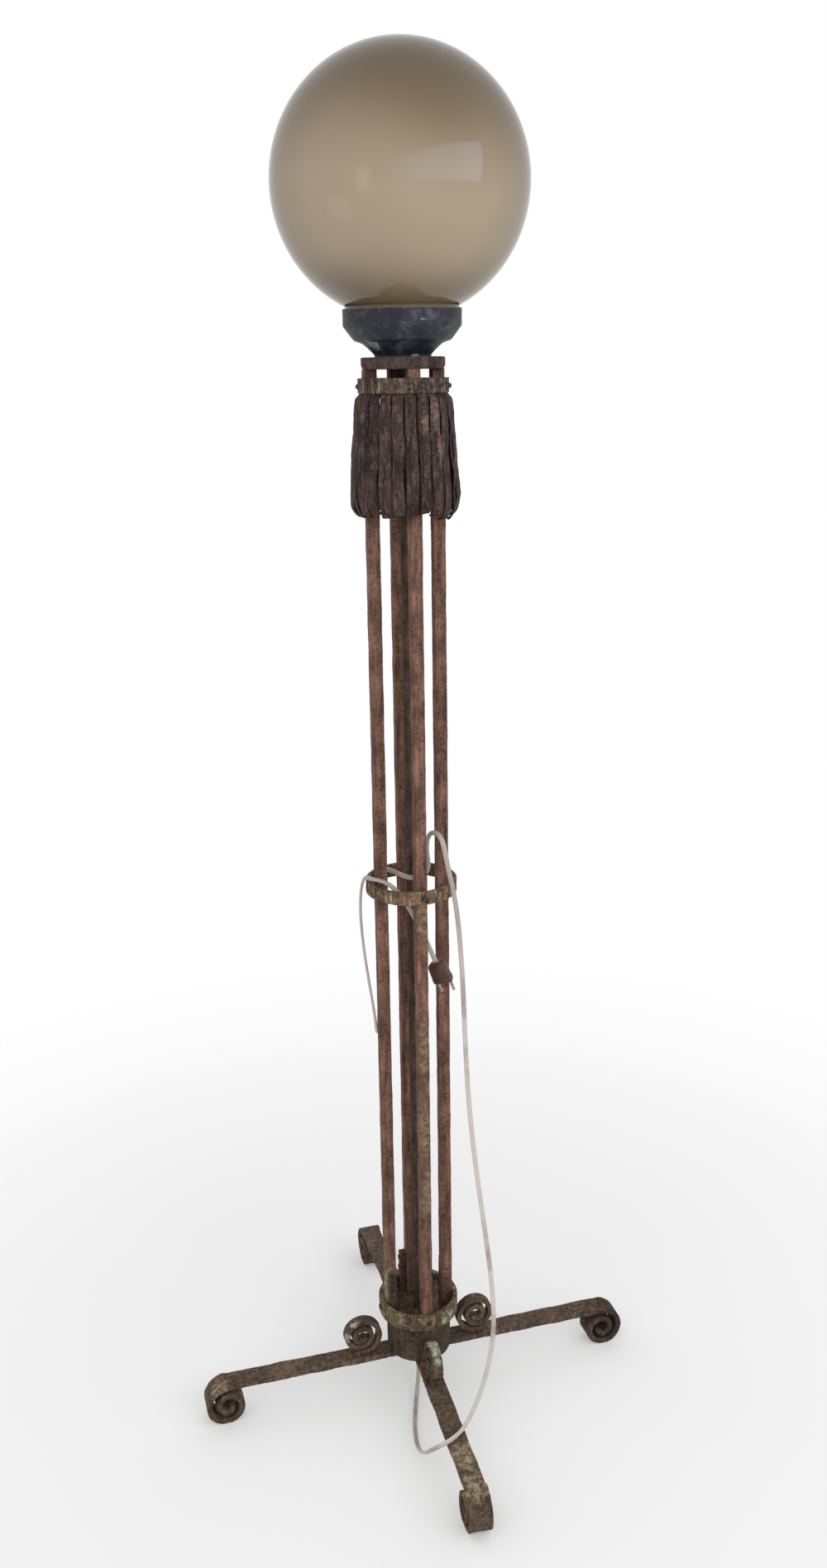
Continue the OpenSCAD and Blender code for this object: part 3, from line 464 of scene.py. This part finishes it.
def only(*objects):
    """Selects these objects alone and makes the first one active."""
    nothing()
    for obj in objects:
        obj.select_set(True)
    bpy.context.view_layer.objects.active = objects[0]


def new_object(name, data):
    """A new object in the scene."""
    obj = bpy.data.objects.new(name, data)
    bpy.context.scene.collection.objects.link(obj)
    return obj


def join(*pieces):
    """Joins pieces into the first of them."""
    only(*pieces)
    bpy.ops.object.join()
    return pieces[0]


def put_in_place(obj):
    """Leaves the object at the origin, with its place in its mesh."""
    only(obj)
    bpy.ops.object.transform_apply(location=True, rotation=True, scale=True)
    return obj


def edit_all():
    """Opens the active object in edit mode with all of it selected."""
    bpy.ops.object.mode_set(mode="EDIT")
    bpy.ops.mesh.select_all(action="SELECT")


def in_edit(obj, *steps):
    """Runs edit mode steps on all of the object's mesh."""
    only(obj)
    edit_all()
    for step in steps:
        step()
    bpy.ops.object.mode_set(mode="OBJECT")
    return obj


def outwards():
    """Turns the selected faces outwards."""
    bpy.ops.mesh.normals_make_consistent(inside=False)


def apply_modifier(obj, name, kind, **properties):
    """Adds a modifier with its settings and applies it."""
    only(obj)
    modifier = obj.modifiers.new(name, kind)
    for key, value in properties.items():
        setattr(modifier, key, value)
    bpy.ops.object.modifier_apply(modifier=modifier.name)
    return obj


def dress(obj, name, body, key, node):
    """Names a finished piece, gives it its finish and lets it ride on its body in a frame node's place."""
    put_in_place(obj)
    obj.name = name
    obj.data.name = name
    obj.data.materials.clear()
    obj.data.materials.append(finish(key))
    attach(obj, body)
    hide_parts(node)
    return obj


def paint_nodes(key, *nodes):
    """Gives frame nodes that keep their own shape their finish."""
    for node in nodes:
        data = NODES[node].data
        data.materials.clear()
        data.materials.append(finish(key))


def copy_of(node, name):
    """A merged copy of a frame node, as a piece to be worked on."""
    obj = new_object(name, NODES[node].data.copy())
    return in_edit(obj, lambda: bpy.ops.mesh.remove_doubles(threshold=0.02 * MM))


def roughen(obj, hammer, pits):
    """Moves each point along its normal: hammer marks 28 mm apart and pits 5 mm apart."""
    shift = Vector((len(obj.name) * 0.37, 0.11, 0.53))
    moved = []
    for place, normal in [(point.co.copy(), point.normal.copy()) for point in obj.data.vertices]:
        wave = noise.noise((place + shift) / (28 * MM))
        pit = noise.noise((place + shift) / (5 * MM))
        moved.extend(place + normal * (wave * hammer + min(pit, 0.0) * pits))
    obj.data.vertices.foreach_set("co", moved)
    obj.data.update()
    return obj


def forge(node, name, key, grain_mm, roughness=1.0):
    """Forges a frame node: soft worn edges and the uneven skin of hammered and rusted iron."""
    iron = settings().iron
    obj = copy_of(node, name)
    obj.data.remesh_voxel_size = grain_mm * MM
    bpy.ops.object.voxel_remesh()
    roughen(obj, iron.hammer * roughness, iron.pits * roughness)
    bpy.ops.object.shade_smooth()
    return dress(obj, name, "stand", key, node)


def soften(obj, width, steps=2, angle=30):
    """Rounds the sharp edges of a piece and smooths its faces."""
    apply_modifier(obj, "Rounded edges", "BEVEL", width=width, segments=steps, limit_method="ANGLE",
                   angle_limit=math.radians(angle))
    bpy.ops.object.shade_smooth_by_angle(angle=math.radians(40))
    return obj


def moulded(node, name, key, edge_mm):
    """A copy of a frame node with flat faces joined and its edges rounded, as moulded or turned."""
    obj = in_edit(copy_of(node, name), lambda: bpy.ops.mesh.dissolve_limited(angle_limit=math.radians(0.5)))
    soften(obj, edge_mm * MM, 3)
    body = next(b for b, nodes in frame["record"]["behaviour"]["bodies"].items() if node in nodes)
    return dress(obj, name, body, key, node)


def draw_through(levels_mm):
    """Extrudes the active ring of edges through levels of (height, width, depth)."""
    edit_all()
    for (height, width, depth), (new_height, new_width, new_depth) in zip(levels_mm, levels_mm[1:]):
        bpy.ops.mesh.extrude_edges_move(
            TRANSFORM_OT_translate={"value": (0, 0, (new_height - height) * MM)})
        bpy.ops.transform.resize(value=(new_width / width, new_depth / depth, 1),
                                 center_override=(0, 0, new_height * MM))
    bpy.ops.object.mode_set(mode="OBJECT")


def turn_on_axis(name, profile_mm):
    """Turns a closed outline of (radius, height) points around the lamp's axis, as on a lathe."""
    radius, height = profile_mm[0]
    nothing()
    bpy.ops.mesh.primitive_circle_add(vertices=128, radius=radius * MM, location=(0, 0, height * MM))
    obj = put_in_place(bpy.context.object)
    draw_through([(h, r, r) for r, h in profile_mm + profile_mm[:1]])
    obj.name = name
    return in_edit(obj, lambda: bpy.ops.mesh.remove_doubles(threshold=0.004 * MM), outwards)


def flex_curve(per_stretch):
    """Points in metres on the smooth line along the route, from its first point to its last."""
    route = [Vector(p) * MM for p in FLEX_ROUTE_MM]
    route = [2 * route[0] - route[1]] + route + [2 * route[-1] - route[-2]]
    points = []
    for i in range(len(route) - 3):
        for k in range(per_stretch):
            t = k / per_stretch
            weights = ((1 - t) ** 3, 3 * t**3 - 6 * t**2 + 4, -3 * t**3 + 3 * t**2 + 3 * t + 1, t**3)
            points.append(sum((route[i + j] * w for j, w in enumerate(weights)), Vector()) / 6)
    points.append(route[-2])
    return points


def flex_directions(points):
    """The way that the flex's broad side points along its route: it turns slowly, mostly lies across
    the line from the front, and stands on edge in its loop at the left."""
    front = Vector((0.27, 0.96, -0.1))
    across, directions = Vector((1, 0, 0)), []
    last = len(points) - 1
    for i in range(last + 1):
        ahead = (points[min(i + 1, last)] - points[max(i - 1, 0)]).normalized()
        wanted = front if points[i].x < -45 * MM and points[i].z > 0.5 else ahead.cross(front)
        if wanted.dot(across) < 0:
            wanted.negate()
        across = across + wanted * 0.35
        across = (across - ahead * across.dot(ahead)).normalized()
        directions.append((across, ahead.cross(across)))
    return directions


def make_twin_flex():
    """Twin flex: two cores side by side in one PVC skin, laid along its route."""
    flex = settings().flex
    points = flex_curve(6)
    offset, round_r = (flex.width - flex.thickness) / 2, flex.thickness / 2
    outline = [(offset + math.cos(a) * round_r, math.sin(a) * round_r)
               for a in (math.radians(d) for d in range(-115, 116, 23))]
    outline += [(-x, -y) for x, y in outline]
    rings = [[point + a * x + b * y for x, y in outline]
             for point, (a, b) in zip(points, flex_directions(points))]
    count = len(outline)
    last = (len(points) - 1) * count
    faces = [(i + k, i + (k + 1) % count, i + count + (k + 1) % count, i + count + k)
             for i in range(0, last, count) for k in range(count)]
    faces += [tuple(range(count))[::-1], tuple(range(last, last + count))]
    mesh = bpy.data.meshes.new("twin_flex")
    mesh.from_pydata([p for ring in rings for p in ring], [], faces)
    obj = new_object("twin_flex", mesh)
    in_edit(obj, outwards)
    bpy.ops.object.shade_smooth_by_angle(angle=math.radians(50))
    return obj, points


def pressed_block(name, levels_mm):
    """A moulded block through levels of (height, width, depth), each a rounded oblong."""
    height, width, depth = levels_mm[0]
    nothing()
    bpy.ops.mesh.primitive_circle_add(vertices=64, radius=1)
    obj = bpy.context.object
    for point in obj.data.vertices:
        x, y, _ = point.co
        point.co = (math.copysign(abs(x) ** 0.4, x) * width * MM / 2,
                    math.copysign(abs(y) ** 0.6, y) * depth * MM / 2, height * MM)
    draw_through(levels_mm)
    obj.name = name
    in_edit(obj, lambda: bpy.ops.mesh.fill_holes(sides=0), outwards)
    return soften(obj, 0.5 * MM)


def hang_plug(obj):
    """Moves a piece of the plug from the origin to the end of the flex, in line with it."""
    last, before = Vector(FLEX_ROUTE_MM[-1]), Vector(FLEX_ROUTE_MM[-2])
    line = last - before
    obj.matrix_world = (Matrix.Translation(last * MM)
                        @ Matrix.Rotation(math.atan2(line.y, line.x), 4, "Z")
                        @ Matrix.Rotation(-math.atan2(math.hypot(line.x, line.y), -line.z), 4, "Y")
                        @ Matrix.Rotation(math.radians(-26), 4, "Z") @ obj.matrix_world)
    return put_in_place(obj)


# A strip's width and thickness, how far down the hoop holds it flat, and how much further it is free.
STRIP_WIDTH_MM, STRIP_THICK_MM = 13.0, 2.3
HELD_MM, FREED_MM = 26, 22


def make_strip(i, line_mm):
    """One strip of the fringe: a flat bar that steps out under the hoop and curls in at its end.
    Each has its own slight waves, as cut and bent by hand."""
    lengths = [0.0]
    for a, b in zip(line_mm, line_mm[1:]):
        lengths.append(lengths[-1] + math.dist(a, b))
    nothing()
    bpy.ops.mesh.primitive_grid_add(x_subdivisions=5, y_subdivisions=60, size=1)
    obj = bpy.context.object
    angle = math.radians(15 * (i + 0.5))
    away = Vector((math.cos(angle), math.sin(angle), 0))
    sideways = Vector((-math.sin(angle), math.cos(angle), 0))
    for point in obj.data.vertices:
        along = (0.5 - point.co.y) * lengths[-1]
        k = next(n for n in range(1, len(lengths)) if along <= lengths[n] + 1e-4)
        t = (along - lengths[k - 1]) / (lengths[k] - lengths[k - 1])
        radius = line_mm[k - 1][0] * (1 - t) + line_mm[k][0] * t
        height = line_mm[k - 1][1] * (1 - t) + line_mm[k][1] * t
        free = min(max((along - HELD_MM) / FREED_MM, 0), 1)
        seed = Vector((i * 3.7, along * 0.03, 0))
        width = STRIP_WIDTH_MM * (1 - free) + (STRIP_WIDTH_MM + 0.3 + 1.8 * noise.noise(seed)) * free
        radius += free * (2.2 * noise.noise(seed * 1.4 + Vector((0, 9, 0))) + 0.5 * noise.noise(seed * 5))
        radius -= 1.6 * free * (point.co.x * 2) ** 2 * 0.3  # slightly crowned across
        radius += free * point.co.x * width * 0.8 * noise.noise(Vector((i * 5.3, along * 0.006, 7)))
        drift = free * 1.4 * noise.noise(seed + Vector((0, 0, 5)))
        near_end = max(0.0, (along - lengths[-1] + 8) / 8)
        ragged = 1.5 * noise.noise(Vector((i * 1.7, point.co.x * 2.2, 3))) * near_end
        point.co = (away * radius + sideways * (point.co.x * width + drift)
                    + Vector((0, 0, height + ragged))) * MM
    apply_modifier(obj, "Thickness", "SOLIDIFY", thickness=STRIP_THICK_MM * MM, offset=0)
    in_edit(obj, outwards)
    return soften(obj, 0.4 * MM, 2, 50)


def strip_line(length):
    """Middle line of a strip in radius and height, downwards from under the hoop."""
    line = [(51.17, 1422.2), (51.17, 1405), (56.77, 1399)]
    line += [(57.37 + 7.6 * k / 5, 1396 - (length - 32) * k / 5) for k in range(6)]
    line += [(64.97 - 11 * (1 - math.cos(math.radians(a))), 1428 - length - 22 * math.sin(math.radians(a)))
             for a in range(15, 91, 15)]
    return line


# Operators
class LampStep:
    """What the lamp's operators share."""

    bl_options = {"REGISTER", "UNDO"}

    @classmethod
    def poll(cls, context):
        return hasattr(context.scene, "floor_lamp")


class FLOORLAMP_OT_stage(LampStep, bpy.types.Operator):
    """Pale floor, soft light and the camera of the picture"""

    bl_idname = "floor_lamp.stage"
    bl_label = "Stage"

    def execute(self, context):
        stage = settings().stage
        self.lay_floor(stage.floor)
        self.light_all_around(context.scene, stage.around)
        self.hang_softbox("window_softbox", (1.02, -2.1, 1.96), (0, 0, 1.62), 2.7, 1.0, stage.window)
        self.hang_softbox("ceiling_softbox", (-1.6, -1.9, 2.9), (0, 0, 0.7), 2.4, 2.4, 13)
        # what the polished globe mirrors: a wide window that fades to the left, and two small dim ones
        self.hang_card("window_card", (0.7, 0.77, 1.0, 1.0), 4.2, (
            (2.73, -1.865, 1.495), (2.80, -1.636, 2.942), (-0.12, -2.617, 2.377), (-2.60, -3.442, 1.913),
            (-2.68, -3.527, 1.496), (-0.15, -2.758, 1.452)), fading=True)
        self.hang_card("small_window_card", (1.0, 0.91, 0.67, 1.0), 2.4, (
            (-1.701, -1.338, 1.842), (-1.396, -1.663, 1.821), (-1.402, -1.613, 1.21),
            (-1.673, -1.326, 1.245)))
        self.hang_card("low_window_card", (1.0, 0.86, 0.85, 1.0), 2.0, (
            (-1.998, -0.39, 1.244), (-1.696, -1.1, 1.069), (-1.599, -0.856, 0.614),
            (-1.881, -0.216, 0.798)))
        self.set_camera(context.scene)
        context.scene.view_settings.view_transform = "Standard"
        return {"FINISHED"}

    def lay_floor(self, colour):
        nothing()
        # just under the feet, so that no foot shares its plane
        bpy.ops.mesh.primitive_plane_add(size=60, location=(0, 0, -0.4 * MM))
        floor = put_in_place(bpy.context.object)
        floor.name = "studio_floor"
        material, tree, place = new_material("Pale studio floor, fading to white")
        # matt around the lamp, where its shadow lies, and white from 1.6 m away
        away = add_node(tree, "VectorMath", (place,), operation="LENGTH").outputs["Value"]
        far = add_node(tree, "MapRange", (away, 0.3, 1.6, 0.25), interpolation_type="SMOOTHSTEP")
        seen = add_node(tree, "Math", (far, sees_backdrop(tree)), operation="MULTIPLY")
        matt = add_node(tree, "BsdfDiffuse", (colour,))
        white = add_node(tree, "Emission", (WHITE, 1.0))
        add_node(tree, "OutputMaterial", (add_node(tree, "MixShader", (seen, matt, white)),))
        floor.data.materials.append(material)

    def light_all_around(self, scene, strength):
        world = bpy.data.worlds.new("Soft studio")
        scene.world = world
        world.use_nodes = True
        tree = world.node_tree
        tree.nodes.clear()
        around = add_node(tree, "Background", (WHITE, strength))
        backdrop = add_node(tree, "Background", (WHITE, 1.0))
        both = add_node(tree, "MixShader", (sees_backdrop(tree), around, backdrop))
        add_node(tree, "OutputWorld", (both,))

    def hang_card(self, name, colour, strength, corners, fading=False):
        """A shining card that only reflections show. A fading one is dimmer towards its left."""
        nothing()
        bpy.ops.mesh.primitive_circle_add(vertices=len(corners), fill_type="NGON")
        card = bpy.context.object
        for point, corner in zip(card.data.vertices, corners):
            point.co = corner
        card.name = name
        material, tree, place = new_material("Daylight from " + name)
        if fading:
            # from full at 2.2 m on the right to nearly dark at 2.9 m on the left
            along = add_node(tree, "SeparateXYZ", (place,)).outputs["X"]
            strength = add_node(tree, "MapRange", (along, -2.9, 2.2, 0.12, strength))
        add_node(tree, "OutputMaterial", (add_node(tree, "Emission", (colour, strength)),))
        card.data.materials.append(material)
        card.visible_camera = card.visible_diffuse = False
        card.visible_transmission = card.visible_shadow = False

    def hang_softbox(self, name, place, aim, width, height, power):
        light = bpy.data.lights.new(name, "AREA")
        light.shape = "RECTANGLE"
        light.size, light.size_y = width, height
        light.energy = power
        lamp = new_object(name, light)
        lamp.location = place
        lamp.rotation_euler = (Vector(aim) - Vector(place)).to_track_quat("-Z", "Y").to_euler()
        lamp.visible_glossy = False

    def set_camera(self, scene):
        data = bpy.data.cameras.new("picture_camera")
        data.sensor_fit = "VERTICAL"
        data.sensor_height = FILM_HEIGHT_MM
        data.lens = LENS_MM
        camera = new_object("picture_camera", data)
        place = Matrix.Translation(CAMERA_PLACE)
        for degrees, axis in CAMERA_TURNS:
            place = place @ Matrix.Rotation(math.radians(degrees), 4, axis)
        camera.matrix_world = place
        scene.camera = camera


class FLOORLAMP_OT_flex(LampStep, bpy.types.Operator):
    """Twin flex along its route, with its moulded plug"""

    bl_idname = "floor_lamp.flex"
    bl_label = "Flex and plug"

    def execute(self, context):
        top = pressed_block("plug_top", [(0, 13, 9), (-0.8, 17.5, 12), (-2.4, 22, 14.4), (-5, 24.6, 15.6),
                                         (-9, 25.4, 16), (-21.8, 26.4, 16.2)])
        base = pressed_block("plug_base", [(-22.1, 26.8, 16.2), (-25, 27.4, 16.4), (-28.6, 27.2, 16.2),
                                           (-29.7, 25.6, 14.8), (-30, 23, 12.6)])
        base = self.with_lobes(hang_plug(base))
        plug = [dress(hang_plug(top), "plug_top", "stand", "resin", "plug_cover"),
                dress(base, "plug_base", "stand", "resin", "plug_body"),
                moulded("plug_pins", "pins", "pins", 0.7)]
        paint_nodes("brass", "plug_screw")
        paint_nodes("rubber", "cable_bush")
        paint_nodes("flex", "flex_cores")
        obj, points = make_twin_flex()
        dress(obj, "twin_flex", "stand", "flex", "flex_cord")
        return {"FINISHED"}

    def with_lobes(self, base):
        """Adds the round lobe that each pin stands in."""
        lobes = []
        for x in (-9.5 * MM, 9.5 * MM):
            nothing()
            bpy.ops.mesh.primitive_cone_add(vertices=32, radius1=3.2 * MM, radius2=4.6 * MM, depth=5.5 * MM,
                                            location=(x, 0, -29 * MM))
            lobes.append(hang_plug(soften(put_in_place(bpy.context.object), 0.6 * MM)))
        return join(base, *lobes)


class FLOORLAMP_OT_globe(LampStep, bpy.types.Operator):
    """Smoked glass globe: a blown ball with a short open neck and a ground lip"""

    bl_idname = "floor_lamp.globe"
    bl_label = "Globe"

    def execute(self, context):
        glass = settings().glass
        low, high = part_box("globe_glass")
        radius = (high.x - low.x) / 2
        centre = high.z - radius
        neck_r = 67.3 * MM  # outside of the neck, a little inside the gallery
        cut = centre - math.sqrt(radius**2 - neck_r**2)
        nothing()
        bpy.ops.mesh.primitive_uv_sphere_add(segments=144, ring_count=96, radius=radius,
                                             location=(0, 0, centre))
        obj = put_in_place(bpy.context.object)
        edit_all()
        bpy.ops.mesh.bisect(plane_co=(0, 0, cut), plane_no=(0, 0, -1), clear_outer=True)
        bpy.ops.mesh.select_all(action="DESELECT")
        bpy.ops.mesh.select_mode(type="EDGE")
        bpy.ops.mesh.select_non_manifold()
        for share in (0.15, 0.25, 0.3, 0.3):
            bpy.ops.mesh.extrude_edges_move(TRANSFORM_OT_translate={"value": (0, 0, (low.z - cut) * share)})
        bpy.ops.object.mode_set(mode="OBJECT")
        apply_modifier(obj, "Glass wall", "SOLIDIFY", thickness=glass.wall, offset=-1)
        soften(obj, glass.lip, 3, 60)
        bpy.ops.object.shade_smooth_by_angle(angle=math.radians(60))
        dress(obj, "globe_shell", "globe", "globe", "globe_glass")
        return {"FINISHED"}


class FLOORLAMP_OT_gallery(LampStep, bpy.types.Operator):
    """Pressed and painted gallery that carries the globe, on its turned plate"""

    bl_idname = "floor_lamp.gallery"
    bl_label = "Gallery"

    def execute(self, context):
        iron = settings().iron
        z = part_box("gallery")[0].z / MM  # the cup's foot; its outline is in radii and heights over it
        outside = [(34, 0), (33.6, 1.4), (34.4, 3.2), (37.3, 6.3), (40.3, 9.2), (44, 12.6), (47.6, 15.5),
                   (51.5, 17), (56.6, 18.6), (58.6, 20.2), (62.5, 25), (66.4, 30.2), (69.6, 34.4),
                   (70.3, 36.2), (70.1, 42), (70.3, 52.6), (70.5, 53.6), (70.0, 54.4)]
        inside = [(68.9, 54.3), (68.7, 36.4), (65, 31), (57, 20.9), (46, 16.3), (38.7, 10), (32.4, 1.6),
                  (5.4, 1.6), (5.4, 0)]
        obj = turn_on_axis("gallery_cup", [(r, z + h) for r, h in outside + inside])
        roughen(obj, iron.hammer * 0.5, 0.0)
        soften(obj, iron.edge * 0.5)
        dress(obj, "gallery_cup", "stand", "enamel", "gallery")
        forge("top_plate", "plate_turned", "plate", 1.2, 0.7)
        return {"FINISHED"}


class FLOORLAMP_OT_holder(LampStep, bpy.types.Operator):
    """Lampholder and bulb inside the globe"""

    bl_idname = "floor_lamp.holder"
    bl_label = "Lampholder and bulb"

    def execute(self, context):
        moulded("lampholder_cap", "holder_cap", "resin", 0.8)
        moulded("lampholder_barrel", "holder_barrel", "resin", 0.6)
        paint_nodes("brass", "gallery_nut", "lampholder_shell", "lampholder_contacts", "terminal_screws",
                    "stem_nipple")
        paint_nodes("porcelain", "lampholder_insert")
        paint_nodes("bulb", "bulb_envelope")
        paint_nodes("cap", "bulb_cap")
        return {"FINISHED"}


class FLOORLAMP_OT_column(LampStep, bpy.types.Operator):
    """Square bars around the tube"""

    bl_idname = "floor_lamp.column"
    bl_label = "Column"

    def execute(self, context):
        for side in SIDES:
            forge("upright_" + side, "bar_" + side, "bars", 2.0)
        paint_nodes("tube", "central_tube")
        return {"FINISHED"}


class FLOORLAMP_OT_rings(LampStep, bpy.types.Operator):
    """Ring bands, cleats and their rivets"""

    bl_idname = "floor_lamp.rings"
    bl_label = "Rings"

    def execute(self, context):
        forge("mid_ring", "ring_at_half_height", "mid_ring", 1.1)
        forge("lower_ring", "ring_at_foot", "lower_ring", 1.2)
        forge("upright_cleats", "cleats", "inner", 1.2)
        forge("mid_ring_rivets", "rivets_half_height", "rivets", 0.6, 0.6)
        forge("lower_ring_rivets", "rivets_foot_ring", "rivets", 0.6, 0.6)
        forge("cleat_rivets", "rivets_cleats", "rivets", 0.6, 0.6)
        paint_nodes("tube", "mid_ring_sleeves")
        return {"FINISHED"}


class FLOORLAMP_OT_collar(LampStep, bpy.types.Operator):
    """Collar: riveted hoop and fringe of flat strips"""

    bl_idname = "floor_lamp.collar"
    bl_label = "Collar and fringe"

    def execute(self, context):
        # millimetres over 134 that each strip is long, as they were cut by hand
        uneven = (6, 9, 4, 8, 5, 10, 3, 7, 9, 4, 8, 10, 10, 8, 4, 7.5, 6, 7, 3.5, 7, 12, 13, 9, 5)
        strips = [make_strip(i, strip_line(134 + more)) for i, more in enumerate(uneven)]
        dress(join(*strips), "fringe", "stand", "strips", "fringe_strips")
        forge("collar_hoop", "hoop", "hoop", 0.9, 0.6)
        forge("collar_rivets", "rivets_collar", "hoop", 0.6, 0.6)
        return {"FINISHED"}


class FLOORLAMP_OT_hub(LampStep, bpy.types.Operator):
    """Hub: drum between its two discs, and the nut under it"""

    bl_idname = "floor_lamp.hub"
    bl_label = "Hub"

    def execute(self, context):
        forge("stand_disc", "disc_under_bars", "inner", 1.2)
        forge("hub_drum", "drum", "hub", 1.3)
        forge("base_disc", "disc_over_legs", "hub", 1.3)
        paint_nodes("rivets", "base_nut")
        return {"FINISHED"}


class FLOORLAMP_OT_legs(LampStep, bpy.types.Operator):
    """Legs with their rolled feet, volutes and rivets"""

    bl_idname = "floor_lamp.legs"
    bl_label = "Legs and volutes"

    def execute(self, context):
        for side in SIDES:
            forge("leg_" + side, "foot_" + side, "legs", 1.6, 2.0)
            forge("volute_" + side, "scroll_" + side, "legs", 1.2, 1.2)
        forge("leg_rivets", "rivets_legs", "rivets", 0.8, 0.6)
        forge("volute_rivets", "rivets_volutes", "rivets", 0.8, 0.6)
        return {"FINISHED"}


class FLOORLAMP_PT_panel(bpy.types.Panel):
    """The lamp's settings and steps"""

    bl_label = "Floor Lamp"
    bl_idname = "FLOORLAMP_PT_panel"
    bl_space_type = "VIEW_3D"
    bl_region_type = "UI"
    bl_category = "Floor Lamp"

    def draw(self, context):
        for group in ("iron", "glass", "flex", "stage"):
            box = self.layout.box()
            box.label(text=group.capitalize())
            values = getattr(context.scene.floor_lamp, group)
            for key in values.__annotations__:
                box.prop(values, key)
        for step in STEPS:
            self.layout.operator(step.bl_idname)


STEPS = (FLOORLAMP_OT_stage, FLOORLAMP_OT_flex, FLOORLAMP_OT_globe, FLOORLAMP_OT_gallery,
         FLOORLAMP_OT_holder, FLOORLAMP_OT_column, FLOORLAMP_OT_rings, FLOORLAMP_OT_collar,
         FLOORLAMP_OT_hub, FLOORLAMP_OT_legs)
CLASSES = (IronSettings, GlassSettings, FlexSettings, StageSettings, LampSettings, *STEPS,
           FLOORLAMP_PT_panel)


def register():
    """Registers the settings, the operators and the panel."""
    for cls in CLASSES:
        bpy.utils.register_class(cls)
    bpy.types.Scene.floor_lamp = PointerProperty(type=LampSettings)


def unregister():
    """Takes them out again."""
    del bpy.types.Scene.floor_lamp
    for cls in reversed(CLASSES):
        bpy.utils.unregister_class(cls)


def main():
    """Builds the lamp's looks step by step."""
    register()
    for step in STEPS:
        group, name = step.bl_idname.split(".")
        getattr(getattr(bpy.ops, group), name)()


if __name__ == "__main__":
    main()
